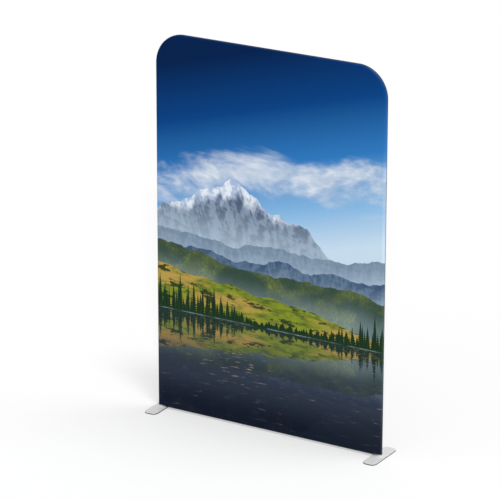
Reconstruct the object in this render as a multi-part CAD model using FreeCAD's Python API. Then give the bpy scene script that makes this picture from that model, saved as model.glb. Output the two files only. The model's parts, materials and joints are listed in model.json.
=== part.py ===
"""Free-standing fabric display wall: push-together aluminium tubes inside a stretch cover, on two flat feet.

Millimetres. X runs along the wall, -Y is the front and +Z is up. The origin is on the floor, under the
middle of the wall.
"""

import FreeCAD
import Part
import math
import os

# Wall, measured over the cover
wall_width = 1500.0
wall_height = 2300.0
wall_corner_radius = 185.0

# Frame tubes
tube_diameter = 30.0
tube_wall = 1.5
bend_leg_length = 80.0
upright_lower_length = 1012.0
crossbar_drop = 30.0

# Cover
cover_thickness = 0.6
cover_clearance = 0.3
cover_foot_clearance = 1.0
hem_lift = 10.0
flap_end_gap = 30.0
flap_side_gap = 1.0

# Joiner sleeves
joiner_length = 120.0
joiner_wall = 2.0
slide_clearance = 0.1

# Snap buttons and their leaf springs
button_diameter = 8.0
button_proud = 1.8
button_setback = 30.0
button_dome_height = 2.0
button_flange_rim = 1.2
button_flange_thickness = 1.0
button_hole_clearance = 0.3
spring_width = 8.0
spring_thickness = 0.8
spring_pad_length = 14.0
spring_leg_length = 17.0
spring_bend_radius = 3.6

# Blind rivets that fix a joiner in one of its tubes
rivet_shank_diameter = 4.8
rivet_head_rim = 2.3
rivet_head_height = 1.6
rivet_tail_length = 2.4
rivet_setback = 30.0

# Stubs that carry the rails on the uprights
stub_collar_setback = 0.5
stub_collar_length = 5.0
stub_spigot_length = 60.0
stub_screw_diameter = 6.0
stub_screw_head_diameter = 10.5
stub_screw_head_height = 3.3
stub_screw_tip_gap = 2.5
stub_screw_socket_width = 4.0
stub_screw_socket_depth = 2.0

# Feet
foot_length = 280.0
foot_width = 84.0
foot_thickness = 6.0
foot_corner_radius = 30.0
foot_edge_radius = 1.2
pad_thickness = 1.0
pad_inset = 5.0
pad_access_margin = 3.0
washer_thickness = 1.0
plug_length = 46.0
plug_recess = 1.0
foot_screw_diameter = 10.0
foot_screw_length = 40.0
foot_screw_sink = 0.4
foot_screw_floor = 0.6
foot_screw_socket_width = 6.0
foot_screw_socket_depth = 3.5

# Zip across the back, above the bottom rail
zip_rise = 36.6
zip_tape_width = 12.0
zip_teeth_width = 2.6
zip_teeth_height = 2.1
zip_parting = 1.0
zip_stop_length = 4.0
zip_stop_overhang = 0.6

# Zip slider and its pull tab
slider_length = 12.0
slider_plate = 1.0
slider_side_wall = 1.2
slider_side_gap = 0.4
slider_face_gap = 0.25
slider_corner_radius = 1.5
slider_bridge_length = 3.6
slider_bridge_gap = 0.2
slider_park_gap = 24.0
ear_thickness = 1.0
ear_wall = 1.0
tab_pin_diameter = 1.4
tab_pin_offset = 2.3
tab_running_clearance = 0.1
tab_knuckle_wall = 0.65
tab_face_gap = 0.35
tab_side_gap = 0.2
tab_neck_width = 4.0
tab_neck_length = 8.0
tab_length = 24.0
tab_width = 6.0
tab_thickness = 1.1
tab_corner_radius = 1.9
tab_slot_length = 8.0
tab_slot_width = 2.6
tab_slot_margin = 3.0

# One overrun serves every cut
cut_overrun = 1.0

# Radii worked out from the sizes above
tube_radius = tube_diameter / 2
tube_bore_radius = tube_radius - tube_wall
joiner_radius = tube_bore_radius - slide_clearance
joiner_bore_radius = joiner_radius - joiner_wall
cover_inner_radius = tube_radius + cover_clearance
cover_outer_radius = cover_inner_radius + cover_thickness
bend_radius = wall_corner_radius - cover_outer_radius
button_radius = button_diameter / 2
button_flange_radius = button_radius + button_flange_rim
tube_hole_radius = button_radius + button_hole_clearance
joiner_hole_radius = button_radius + slide_clearance
rivet_radius = rivet_shank_diameter / 2
stub_collar_radius = tube_radius - stub_collar_setback
stub_screw_radius = stub_screw_diameter / 2
foot_screw_radius = foot_screw_diameter / 2
foot_screw_head_height = foot_thickness - foot_screw_sink - foot_screw_floor
foot_screw_head_radius = foot_screw_radius + foot_screw_head_height
tab_pin_radius = tab_pin_diameter / 2
tab_knuckle_radius = tab_pin_radius + tab_running_clearance + tab_knuckle_wall
ear_radius = tab_pin_radius + ear_wall

# Places worked out from the sizes above
upright_x = wall_width / 2 - cover_outer_radius
top_axis_z = wall_height - cover_outer_radius
bend_start_z = top_axis_z - bend_radius
bend_end_x = upright_x - bend_radius
foot_top_z = pad_thickness + foot_thickness
cover_floor_gap = foot_top_z + cover_foot_clearance
bottom_axis_z = cover_floor_gap + cover_outer_radius
upright_foot_z = foot_top_z + washer_thickness
upright_joint_z = upright_foot_z + upright_lower_length
bend_joint_z = bend_start_z - bend_leg_length
rail_joint_x = bend_end_x - bend_leg_length
crossbar_axis_z = upright_joint_z - crossbar_drop
stub_face_x = upright_x - tube_radius - stub_collar_length
stub_screw_length = upright_x - foot_screw_radius - stub_screw_tip_gap - stub_face_x
hem_z = cover_floor_gap + hem_lift
flap_end_x = upright_x - flap_end_gap
zip_z = bottom_axis_z + zip_rise
zip_half_parting = zip_parting / 2
zip_teeth_reach = zip_half_parting + zip_teeth_width
zip_tape_reach = zip_half_parting + zip_tape_width
zip_teeth_end_x = flap_end_x - zip_stop_length
zip_teeth_face_y = cover_outer_radius + zip_teeth_height
slider_x = zip_teeth_end_x - slider_park_gap
slider_half_width = zip_teeth_reach + slider_side_gap + slider_side_wall
slider_inner_y = cover_inner_radius - slider_face_gap
slider_outer_y = zip_teeth_face_y + slider_face_gap + slider_plate
tab_pin_x = slider_x - tab_pin_offset
tab_pin_y = slider_outer_y + tab_face_gap + tab_knuckle_radius

X = FreeCAD.Vector(1, 0, 0)
Y = FreeCAD.Vector(0, 1, 0)
Z = FreeCAD.Vector(0, 0, 1)
SIDES = {"left": -1, "right": 1}


# Shared shapes
def point(x=0, y=0, z=0):
    return FreeCAD.Vector(x, y, z)


def cylinder(radius, start, end):
    """A rod between two points."""
    along = end - start
    return Part.makeCylinder(radius, along.Length, start, along)


def pipe(outer, inner, start, end):
    """A hollow rod between two points."""
    return cylinder(outer, start, end).cut(cylinder(inner, start, end))


def block(first, last):
    """A box between two opposite corners, given in any order."""
    low = point(min(first.x, last.x), min(first.y, last.y), min(first.z, last.z))
    high = point(max(first.x, last.x), max(first.y, last.y), max(first.z, last.z))
    size = high - low
    return Part.makeBox(size.x, size.y, size.z, low)


def joined(shapes):
    """One solid from shapes that meet."""
    return shapes[0].multiFuse(shapes[1:]).removeSplitter()


def line(first, last):
    return Part.LineSegment(first, last).toShape()


def arc(first, through, last):
    return Part.Arc(first, through, last).toShape()


def rounded_block(first, last, axis, radius):
    """A box whose edges along the axis are rounded."""
    body = block(first, last)
    along = [edge for edge in body.Edges if abs(edge.tangentAt(edge.FirstParameter).dot(axis)) > 0.5]
    return body.makeFillet(radius, along)


def hexagon_socket(width, mouth, axis, depth):
    """A hexagon prism, sunk from its mouth along an axis square to Y."""
    corner_radius = width / math.sqrt(3)
    across = axis.cross(Y)
    corners = []
    for step in range(6):
        angle = step * math.pi / 3
        corners.append(mouth + (Y * math.cos(angle) + across * math.sin(angle)) * corner_radius)
    return Part.Face(Part.makePolygon(corners + corners[:1])).extrude(axis * depth)


# Snap fits
class SnapFit:
    """Where a button stands on its tube's axis, which way its spring runs and which way the button points."""

    def __init__(self, origin, axial, radial):
        self.origin = origin
        self.axial = axial
        self.radial = radial

    def hole(self, radius):
        """A cutter from the tube's axis to past the button's tip."""
        reach = tube_radius + button_proud + cut_overrun
        return cylinder(radius, self.origin, self.origin + self.radial * reach)

    def placed(self, shape):
        """The shape with its X turned along the spring and its Z along the button."""
        across = self.radial.cross(self.axial)
        columns = (self.axial, across, self.radial, self.origin)
        turn = FreeCAD.Matrix(
            *(column.x for column in columns),
            *(column.y for column in columns),
            *(column.z for column in columns),
            0, 0, 0, 1,
        )
        moved = shape.copy()
        moved.Placement = FreeCAD.Placement(turn).multiply(shape.Placement)
        return moved


def snap_fits():
    """Every snap fit by name: all of them point into the frame, away from the cover."""
    fits = {
        "bottom_rail": SnapFit(point(button_setback, 0, bottom_axis_z), -X, Z),
        "crossbar": SnapFit(point(button_setback, 0, crossbar_axis_z), -X, -Z),
    }
    for side, sign in SIDES.items():
        outward = X * sign
        upright = outward * upright_x
        stub_button = outward * (stub_face_x - button_setback)
        rail_button = outward * (rail_joint_x - button_setback)
        fits[f"upright_{side}"] = SnapFit(upright + Z * (upright_joint_z + button_setback), -Z, -outward)
        fits[f"bend_leg_{side}"] = SnapFit(upright + Z * (bend_joint_z - button_setback), Z, -outward)
        fits[f"bend_rail_{side}"] = SnapFit(rail_button + Z * top_axis_z, outward, -Z)
        fits[f"bottom_stub_{side}"] = SnapFit(stub_button + Z * bottom_axis_z, -outward, Z)
        fits[f"crossbar_stub_{side}"] = SnapFit(stub_button + Z * crossbar_axis_z, -outward, -Z)
    return fits


FITS = snap_fits()


def flange_seat():
    """How far from the tube's axis the button's flange stops, just clear of the joiner's round bore."""
    return math.sqrt(joiner_bore_radius ** 2 - button_flange_radius ** 2) - slide_clearance


def snap_button():
    """A domed pin with a flange, pointing along Z."""
    seat = flange_seat()
    tip = tube_radius + button_proud
    dome_radius = (button_radius ** 2 + button_dome_height ** 2) / (2 * button_dome_height)
    pin = cylinder(button_radius, point(z=seat), point(z=tip))
    dome = Part.makeSphere(dome_radius, point(z=tip - dome_radius))
    straight = cylinder(button_radius, point(z=seat), point(z=tip - button_dome_height))
    flange = cylinder(button_flange_radius, point(z=seat - button_flange_thickness), point(z=seat))
    return joined([pin.common(dome.fuse(straight)), flange])


def snap_spring():
    """A leaf folded to a U along X, with one pad under the button and one on the far wall of the bore."""
    half_thickness = spring_thickness / 2
    top = flange_seat() - button_flange_thickness - half_thickness
    far_wall = math.sqrt(joiner_bore_radius ** 2 - (spring_width / 2) ** 2)
    low = half_thickness + slide_clearance - far_wall
    middle = (top + low) / 2
    pad_x = spring_pad_length / 2
    bend_x = pad_x + spring_leg_length
    bend_top = point(bend_x, 0, middle + spring_bend_radius)
    bend_low = point(bend_x, 0, middle - spring_bend_radius)
    path = Part.Wire([
        line(point(-pad_x, 0, top), point(pad_x, 0, top)),
        line(point(pad_x, 0, top), bend_top),
        arc(bend_top, point(bend_x + spring_bend_radius, 0, middle), bend_low),
        line(bend_low, point(pad_x, 0, low)),
        line(point(pad_x, 0, low), point(-pad_x, 0, low)),
    ])
    mitred = 2
    outside = path.makeOffset2D(half_thickness, mitred, False, True)
    inside = path.makeOffset2D(-half_thickness, mitred, False, True)
    across = Z * half_thickness
    ends = [
        line(point(-pad_x, 0, top) - across, point(-pad_x, 0, top) + across),
        line(point(-pad_x, 0, low) - across, point(-pad_x, 0, low) + across),
    ]
    outline = Part.Wire(Part.__sortEdges__(outside.Edges + inside.Edges + ends))
    leaf = Part.Face(outline).extrude(Y * spring_width)
    leaf.translate(Y * (-spring_width / 2))
    return leaf


# Frame
def tube(start, end, fit_names=()):
    """A straight tube with the holes of its snap fits."""
    body = pipe(tube_radius, tube_bore_radius, start, end)
    for name in fit_names:
        body = body.cut(FITS[name].hole(tube_hole_radius))
    return body


def joiner(middle, axis, fit_name):
    """A sleeve half in each of two tubes, with the hole of its snap fit."""
    reach = axis * (joiner_length / 2)
    body = pipe(joiner_radius, joiner_bore_radius, middle - reach, middle + reach)
    return body.cut(FITS[fit_name].hole(joiner_hole_radius))


def corner_bend(sign):
    """A quarter bend with a straight leg at each end."""
    side_x = sign * upright_x
    crown_x = sign * bend_end_x
    leg = tube(point(side_x, 0, bend_joint_z), point(side_x, 0, bend_start_z))
    rail_end = tube(point(crown_x, 0, top_axis_z), point(sign * rail_joint_x, 0, top_axis_z))
    rings = [
        Part.Wire(Part.Circle(point(side_x, 0, bend_start_z), Z, radius).toShape())
        for radius in (tube_radius, tube_bore_radius)
    ]
    curve = Part.Face(rings).revolve(point(crown_x, 0, bend_start_z), Y * -sign, 90)
    return joined([leg, curve, rail_end])


def rivet_bore(origin, radial):
    return cylinder(rivet_radius + slide_clearance, origin, origin + radial * tube_diameter)


def rivet(origin, radial):
    """A blind rivet through a tube and its joiner: a dome outside and a set tail in the joiner's bore."""
    head_radius = rivet_radius + rivet_head_rim
    head_base = origin + radial * tube_radius
    tail_top = origin + radial * (joiner_bore_radius - slide_clearance)
    head = cylinder(head_radius, head_base, head_base + radial * rivet_head_height)
    crown = max(head.Faces, key=lambda face: face.CenterOfMass.dot(radial))
    head = head.makeFillet(rivet_head_height / 2, crown.Edges)
    shank = cylinder(rivet_radius, tail_top - radial * rivet_tail_length, head_base)
    return joined([head, shank])


def stub(sign, axis_z, fit_name):
    """A spigot for a rail, with a collar coped to the upright and a floor for its screw."""
    outward = X * sign
    axis_point = outward * upright_x + Z * axis_z
    face = outward * stub_face_x + Z * axis_z
    spigot_end = face - outward * stub_spigot_length
    cope_reach = Z * tube_diameter
    cope = cylinder(tube_radius + slide_clearance, axis_point - cope_reach, axis_point + cope_reach)
    collar = cylinder(stub_collar_radius, face, axis_point).cut(cope)
    spigot = pipe(joiner_radius, joiner_bore_radius, face, spigot_end)
    screw_hole = cylinder(stub_screw_radius + slide_clearance, face, axis_point)
    return joined([collar, spigot]).cut(screw_hole).cut(FITS[fit_name].hole(joiner_hole_radius))


def stub_screw_bore(sign, axis_z):
    """A cutter through an upright's wall and into what is inside it."""
    face = point(sign * stub_face_x, 0, axis_z)
    tip = face + X * (sign * (stub_screw_length + slide_clearance))
    return cylinder(stub_screw_radius + slide_clearance, face, tip)


def stub_screw(sign, axis_z):
    """A socket screw from inside the stub into the upright."""
    outward = X * sign
    seat = outward * stub_face_x + Z * axis_z
    head_top = seat - outward * stub_screw_head_height
    head = cylinder(stub_screw_head_diameter / 2, head_top, seat)
    shank = cylinder(stub_screw_radius, seat, seat + outward * stub_screw_length)
    socket = hexagon_socket(stub_screw_socket_width, head_top, outward, stub_screw_socket_depth)
    return joined([head, shank]).cut(socket)


def upright_parts(side, sign):
    """One upright: its two tubes, the joiner between them, the stubs and the plug for the foot."""
    upright = X * (sign * upright_x)
    joint = upright + Z * upright_joint_z
    bottom_bore = stub_screw_bore(sign, bottom_axis_z)
    crossbar_bore = stub_screw_bore(sign, crossbar_axis_z)
    lower = tube(upright + Z * upright_foot_z, joint)
    upper_fits = (f"upright_{side}", f"bend_leg_{side}")
    return {
        f"upright_{side}_lower": lower.cut(bottom_bore).cut(crossbar_bore),
        f"upright_{side}_upper": tube(joint, upright + Z * bend_joint_z, upper_fits),
        f"upright_joiner_{side}": joiner(joint, Z, f"upright_{side}").cut(crossbar_bore),
        f"bottom_stub_{side}": stub(sign, bottom_axis_z, f"bottom_stub_{side}"),
        f"crossbar_stub_{side}": stub(sign, crossbar_axis_z, f"crossbar_stub_{side}"),
        f"foot_plug_{side}": foot_plug(sign).cut(bottom_bore),
    }


def corner_parts(side, sign, rivets):
    """One top corner: the bend and the joiners riveted into its legs."""
    outward = X * sign
    leg_joint = outward * upright_x + Z * bend_joint_z
    rail_joint = outward * rail_joint_x + Z * top_axis_z
    leg_rivet = (leg_joint + Z * rivet_setback, -outward)
    rail_rivet = (rail_joint + outward * rivet_setback, -Z)
    rivets += [rivet(*leg_rivet), rivet(*rail_rivet)]
    leg_bore = rivet_bore(*leg_rivet)
    rail_bore = rivet_bore(*rail_rivet)
    return {
        f"corner_bend_{side}": corner_bend(sign).cut(leg_bore).cut(rail_bore),
        f"bend_leg_joiner_{side}": joiner(leg_joint, Z, f"bend_leg_{side}").cut(leg_bore),
        f"bend_rail_joiner_{side}": joiner(rail_joint, X, f"bend_rail_{side}").cut(rail_bore),
    }


def rail_parts(name, stub_name, axis_z, rivets):
    """A rail between the uprights in two halves, with the joiner riveted into the left one."""
    middle = point(z=axis_z)
    reach = X * stub_face_x
    seat = (middle - X * rivet_setback, FITS[name].radial)
    rivets.append(rivet(*seat))
    return {
        f"{name}_left": tube(middle - reach, middle, [f"{stub_name}_left"]).cut(rivet_bore(*seat)),
        f"{name}_right": tube(middle, middle + reach, [name, f"{stub_name}_right"]),
        f"{name}_joiner": joiner(middle, X, name).cut(rivet_bore(*seat)),
    }


def frame_parts():
    rivets = []
    screws = []
    crown = X * rail_joint_x
    top = point(z=top_axis_z)
    parts = {"top_rail": tube(top - crown, top + crown, ["bend_rail_left", "bend_rail_right"])}
    for side, sign in SIDES.items():
        parts.update(upright_parts(side, sign))
        parts.update(corner_parts(side, sign, rivets))
        screws += [stub_screw(sign, axis_z) for axis_z in (bottom_axis_z, crossbar_axis_z)]
    parts.update(rail_parts("bottom_rail", "bottom_stub", bottom_axis_z, rivets))
    parts.update(rail_parts("crossbar", "crossbar_stub", crossbar_axis_z, rivets))
    parts["joiner_rivets"] = Part.makeCompound(rivets)
    parts["stub_screws"] = Part.makeCompound(screws)
    return parts


def snap_parts():
    parts = {f"button_{name}": fit.placed(snap_button()) for name, fit in FITS.items()}
    parts["snap_springs"] = Part.makeCompound([fit.placed(snap_spring()) for fit in FITS.values()])
    return parts


# Feet
def foot_blank(length, width, radius, base_z, top_z):
    """A flat foot outline with round corners, centred on the Z axis."""
    return rounded_block(
        point(-width / 2, -length / 2, base_z), point(width / 2, length / 2, top_z), Z, radius
    )


def foot_screw_head(clearance, base_z):
    """The screw's countersunk head, grown by a clearance, with its rim drawn down to base_z."""
    rim_z = pad_thickness + foot_screw_sink
    rim_radius = foot_screw_head_radius + clearance
    neck_radius = foot_screw_radius + clearance
    cone = Part.makeCone(rim_radius, neck_radius, foot_screw_head_height, point(z=rim_z))
    return joined([cone, cylinder(rim_radius, point(z=base_z), point(z=rim_z))])


def foot_plate():
    """The steel foot, rounded along its top rim and countersunk from below."""
    blank = foot_blank(foot_length, foot_width, foot_corner_radius, pad_thickness, foot_top_z)
    crown = max(blank.Faces, key=lambda face: face.CenterOfMass.z)
    plate = blank.makeFillet(foot_edge_radius, crown.Edges)
    screw_hole = cylinder(foot_screw_radius + slide_clearance, point(), point(z=foot_top_z + cut_overrun))
    return plate.cut(screw_hole).cut(foot_screw_head(slide_clearance, pad_thickness - cut_overrun))


def foot_pad():
    """The anti-slip mat under the foot, open below the screw."""
    length = foot_length - 2 * pad_inset
    width = foot_width - 2 * pad_inset
    blank = foot_blank(length, width, foot_corner_radius - pad_inset, 0, pad_thickness)
    access_radius = foot_screw_head_radius + pad_access_margin
    return blank.cut(cylinder(access_radius, point(z=-cut_overrun), point(z=pad_thickness + cut_overrun)))


def foot_washer():
    """The glide washer that the upright stands on."""
    return pipe(
        tube_radius, foot_screw_radius + slide_clearance, point(z=foot_top_z), point(z=upright_foot_z)
    )


def foot_screw():
    """A countersunk socket screw, up through the foot into the plug."""
    base = point(z=pad_thickness)
    shank = cylinder(foot_screw_radius, base, base + Z * foot_screw_length)
    socket = hexagon_socket(foot_screw_socket_width, base, Z, foot_screw_socket_depth)
    return joined([foot_screw_head(0, pad_thickness), shank]).cut(socket)


def foot_plug(sign):
    """The threaded plug in the upright's lower end."""
    base = point(sign * upright_x, 0, upright_foot_z + plug_recess)
    return pipe(joiner_radius, foot_screw_radius + slide_clearance, base, base + Z * plug_length)


def foot_parts():
    parts = {}
    screws = []
    for side, sign in SIDES.items():
        place = X * (sign * upright_x)
        parts[f"foot_plate_{side}"] = foot_plate().translated(place)
        parts[f"foot_pad_{side}"] = foot_pad().translated(place)
        parts[f"foot_washer_{side}"] = foot_washer().translated(place)
        screws.append(foot_screw().translated(place))
    parts["foot_screws"] = Part.makeCompound(screws)
    return parts


# Cover
def edge_section(centre, first, last):
    """A quarter of the cover's rounded edge in section, between two square directions."""
    middle = (first + last).normalize()
    outer, inner = cover_outer_radius, cover_inner_radius
    return Part.Face(Part.Wire([
        arc(centre + first * outer, centre + middle * outer, centre + last * outer),
        line(centre + last * outer, centre + last * inner),
        arc(centre + last * inner, centre + middle * inner, centre + first * inner),
        line(centre + first * inner, centre + first * outer),
    ]))


def cover_sheet(face, middle_low_z):
    """The flat of one side between the tubes' axes, with its lower edge cut out between the corner hems."""
    y = face * cover_inner_radius
    diagonal = bend_radius * math.sqrt(0.5)
    cut_x = flap_end_x + flap_side_gap
    right_half = [
        point(0, y, middle_low_z),
        point(cut_x, y, middle_low_z),
        point(cut_x, y, hem_z),
        point(upright_x, y, hem_z),
        point(upright_x, y, bend_start_z),
    ]
    shoulder = point(bend_end_x + diagonal, y, bend_start_z + diagonal)
    crown = point(bend_end_x, y, top_axis_z)
    edges = [line(*pair) for pair in zip(right_half, right_half[1:])]
    edges += [arc(right_half[-1], shoulder, crown), line(crown, point(0, y, top_axis_z))]
    half = Part.Wire(edges)
    outline = Part.Wire(Part.__sortEdges__(half.Edges + half.mirror(point(), X).Edges))
    return Part.Face(outline).extrude(Y * (face * cover_thickness))


def cover_rim(face):
    """The rounded edge of one side, up an upright, over the top and down the other upright, to the seam."""
    to_face = Y * face
    strips = []
    for sign in SIDES.values():
        hem = edge_section(point(sign * upright_x, 0, hem_z), X * sign, to_face)
        strips.append(hem.extrude(Z * (bend_start_z - hem_z)))
        shoulder = edge_section(point(sign * upright_x, 0, bend_start_z), X * sign, to_face)
        strips.append(shoulder.revolve(point(sign * bend_end_x, 0, bend_start_z), Y * -sign, 90))
    crown = edge_section(point(-bend_end_x, 0, top_axis_z), Z, to_face)
    strips.append(crown.extrude(X * (2 * bend_end_x)))
    return strips


def cover_flap():
    """The front's lower edge, which goes under the bottom rail and up the back to the zip."""
    start = point(-flap_end_x, 0, bottom_axis_z)
    along = X * (2 * flap_end_x)
    tail = block(
        point(-flap_end_x, cover_inner_radius, bottom_axis_z),
        point(flap_end_x, cover_outer_radius, zip_z - zip_tape_reach),
    )
    return [edge_section(start, -Y, -Z).extrude(along), edge_section(start, -Z, Y).extrude(along), tail]


def zip_tape(side):
    """The tape sewn to the flap (side -1) or to the back (side 1)."""
    return block(
        point(-flap_end_x, cover_inner_radius, zip_z + side * zip_half_parting),
        point(flap_end_x, cover_outer_radius, zip_z + side * zip_tape_reach),
    )


def zip_teeth(side):
    """One row of teeth along its tape, between the end stops."""
    return block(
        point(-zip_teeth_end_x, cover_outer_radius, zip_z + side * zip_half_parting),
        point(zip_teeth_end_x, zip_teeth_face_y, zip_z + side * zip_teeth_reach),
    )


def zip_end_stop(sign):
    """A clip across both rows."""
    return block(
        point(sign * zip_teeth_end_x, cover_outer_radius, zip_z - zip_teeth_reach),
        point(sign * flap_end_x, zip_teeth_face_y + zip_stop_overhang, zip_z + zip_teeth_reach),
    )


def slider_block(inner_y, outer_y):
    """A plate of the slider, rounded at its corners."""
    half_length = slider_length / 2
    return rounded_block(
        point(slider_x - half_length, inner_y, zip_z - slider_half_width),
        point(slider_x + half_length, outer_y, zip_z + slider_half_width),
        Y,
        slider_corner_radius,
    )


def slider_ear(side):
    """An ear for the pull tab's pin, sunk half-way into the slider's outer plate."""
    near_z = zip_z + side * (tab_neck_width / 2 + tab_side_gap)
    far_z = near_z + side * ear_thickness
    post = block(
        point(tab_pin_x - ear_radius, slider_outer_y - slider_plate / 2, near_z),
        point(tab_pin_x + ear_radius, tab_pin_y, far_z),
    )
    eye = cylinder(ear_radius, point(tab_pin_x, tab_pin_y, near_z), point(tab_pin_x, tab_pin_y, far_z))
    return [post, eye]


def zip_slider():
    """An outer plate with lips beside the teeth, an inner plate, and a bridge between the two rows."""
    half_bridge = slider_bridge_length / 2
    half_blade = zip_half_parting - slider_bridge_gap
    half_channel = zip_teeth_reach + slider_side_gap
    outer = slider_block(cover_outer_radius + slider_face_gap, slider_outer_y)
    channel = block(
        point(slider_x - slider_length, cover_outer_radius, zip_z - half_channel),
        point(slider_x + slider_length, slider_outer_y - slider_plate, zip_z + half_channel),
    )
    inner = slider_block(slider_inner_y - slider_plate, slider_inner_y)
    bridge = block(
        point(slider_x - half_bridge, slider_inner_y - slider_plate / 2, zip_z - half_blade),
        point(slider_x + half_bridge, slider_outer_y - slider_plate / 2, zip_z + half_blade),
    )
    pin_reach = Z * (tab_neck_width / 2 + tab_side_gap + ear_thickness / 2)
    pin_middle = point(tab_pin_x, tab_pin_y, zip_z)
    pin = cylinder(tab_pin_radius, pin_middle - pin_reach, pin_middle + pin_reach)
    return joined([outer.cut(channel), inner, bridge, pin] + slider_ear(-1) + slider_ear(1))


def zip_pull_tab():
    """A slotted tab on a knuckle round the slider's pin, lying along the zip."""
    half_thickness = tab_thickness / 2
    inner_y = tab_pin_y - half_thickness
    outer_y = tab_pin_y + half_thickness
    neck_x = tab_pin_x - tab_neck_length
    end_x = tab_pin_x - tab_length
    slot_x = end_x + tab_slot_margin
    half_neck = tab_neck_width / 2
    pin_middle = point(tab_pin_x, tab_pin_y, zip_z)
    knuckle = cylinder(tab_knuckle_radius, pin_middle - Z * half_neck, pin_middle + Z * half_neck)
    neck = block(point(neck_x, inner_y, zip_z - half_neck), point(tab_pin_x, outer_y, zip_z + half_neck))
    blade = rounded_block(
        point(end_x, inner_y, zip_z - tab_width / 2),
        point(neck_x, outer_y, zip_z + tab_width / 2),
        Y,
        tab_corner_radius,
    )
    slot = block(
        point(slot_x, inner_y - cut_overrun, zip_z - tab_slot_width / 2),
        point(slot_x + tab_slot_length, outer_y + cut_overrun, zip_z + tab_slot_width / 2),
    )
    bore_reach = Z * tab_neck_width
    bore = cylinder(tab_pin_radius + tab_running_clearance, pin_middle - bore_reach, pin_middle + bore_reach)
    return joined([knuckle, neck, blade]).cut(slot).cut(bore)


def cover_parts():
    return {
        "cover_front": joined([cover_sheet(-1, bottom_axis_z)] + cover_rim(-1) + cover_flap()),
        "cover_back": joined([cover_sheet(1, zip_z + zip_tape_reach)] + cover_rim(1)),
        "zip_tape_lower": zip_tape(-1),
        "zip_tape_upper": zip_tape(1),
        "zip_teeth_lower": zip_teeth(-1),
        "zip_teeth_upper": zip_teeth(1),
        "zip_end_stops": Part.makeCompound([zip_end_stop(sign) for sign in SIDES.values()]),
        "zip_slider": zip_slider(),
        "zip_pull_tab": zip_pull_tab(),
    }


def main():
    os.makedirs("parts", exist_ok=True)
    parts = {**frame_parts(), **snap_parts(), **foot_parts(), **cover_parts()}
    for name, shape in parts.items():
        if not (shape.Solids and shape.isValid()):
            raise RuntimeError(f"{name} is not a sound solid")
        shape.exportStep(f"parts/{name}.step")
    print(len(parts), "pieces,", sum(len(shape.Solids) for shape in parts.values()), "solids")


main()
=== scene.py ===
"""Dresses the fabric display wall: printed stretch cover, zip, tube frame and feet, in a plain white studio.

Metres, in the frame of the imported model: X runs along the wall, -Y is the front and +Z is up.
"""

import json
import math

import bmesh
import bpy
import numpy as np
from bpy.props import FloatProperty, FloatVectorProperty, IntProperty, PointerProperty
from bpy.types import Operator, Panel, PropertyGroup
from mathutils import Matrix, Vector


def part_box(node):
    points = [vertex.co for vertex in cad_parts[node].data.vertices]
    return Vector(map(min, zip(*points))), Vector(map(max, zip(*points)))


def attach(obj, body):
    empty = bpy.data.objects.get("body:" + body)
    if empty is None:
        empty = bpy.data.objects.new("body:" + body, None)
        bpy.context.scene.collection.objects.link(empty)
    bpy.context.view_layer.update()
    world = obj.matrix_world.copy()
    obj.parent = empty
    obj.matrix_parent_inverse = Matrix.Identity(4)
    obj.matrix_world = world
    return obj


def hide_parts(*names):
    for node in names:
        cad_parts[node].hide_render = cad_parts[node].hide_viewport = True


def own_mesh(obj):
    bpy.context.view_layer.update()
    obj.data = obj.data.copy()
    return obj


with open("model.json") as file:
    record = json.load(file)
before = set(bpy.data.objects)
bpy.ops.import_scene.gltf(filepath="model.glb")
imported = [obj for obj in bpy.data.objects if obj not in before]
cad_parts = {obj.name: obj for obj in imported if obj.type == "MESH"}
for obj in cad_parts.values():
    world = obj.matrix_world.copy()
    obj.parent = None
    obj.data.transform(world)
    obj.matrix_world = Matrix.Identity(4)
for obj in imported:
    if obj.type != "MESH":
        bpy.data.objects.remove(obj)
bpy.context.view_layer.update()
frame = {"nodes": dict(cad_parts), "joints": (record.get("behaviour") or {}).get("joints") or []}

bl_info = {
    "name": "Fabric display wall",
    "version": (1, 0, 0),
    "blender": (4, 5, 0),
    "location": "3D View > Sidebar > Display wall",
    "description": "Covers, zips and finishes a free-standing fabric display wall",
    "category": "Object",
}

MM = 0.001
LEFT_AND_RIGHT = (-1, 1)
FLAT_MAP = "flat_cut"
BAKE_MAP = "OFBake"


# Places read from the frame
def middle(node, axis):
    """The middle of a node's box along one axis."""
    low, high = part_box(node)
    return (low[axis] + high[axis]) / 2


UPRIGHT_X = middle("upright_right_lower", 0)
TOP_AXIS_Z = middle("top_rail", 2)
BOTTOM_AXIS_Z = middle("bottom_rail_left", 2)
COVER_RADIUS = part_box("cover_front")[1].y
WALL_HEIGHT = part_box("cover_front")[1].z
HEM_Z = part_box("cover_back")[0].z
TAPE_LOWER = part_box("zip_tape_lower")
TAPE_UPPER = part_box("zip_tape_upper")
TEETH_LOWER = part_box("zip_teeth_lower")
TEETH_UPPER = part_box("zip_teeth_upper")
FLAP_X = TAPE_LOWER[1].x
FLAP_TOP_Z = TAPE_LOWER[0].z
BACK_LOW_Z = TAPE_UPPER[1].z

# The cloth: where the seam's shadow and the rim's shine start and end, and the places of its rows
TOUCHING = 0.01 * MM
SEAM_SHADOW = (1.6 * MM, 0.4 * MM)
RIM_SHINE = (12.5 * MM, 7 * MM)
RIM_STEPS = (0.12, 0.24, 0.36, 0.48, 0.60, 0.70, 0.79, 0.87, 0.93, 0.97, 0.995)
PUCKER_START = 0.55
SEAM_START = 0.86
FLAP_TURN = math.pi / 18
FLAP_STEP = 6 * MM
FOLD_STEP = 0.6 * MM
HEM_FOLD = 3 * MM

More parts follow.
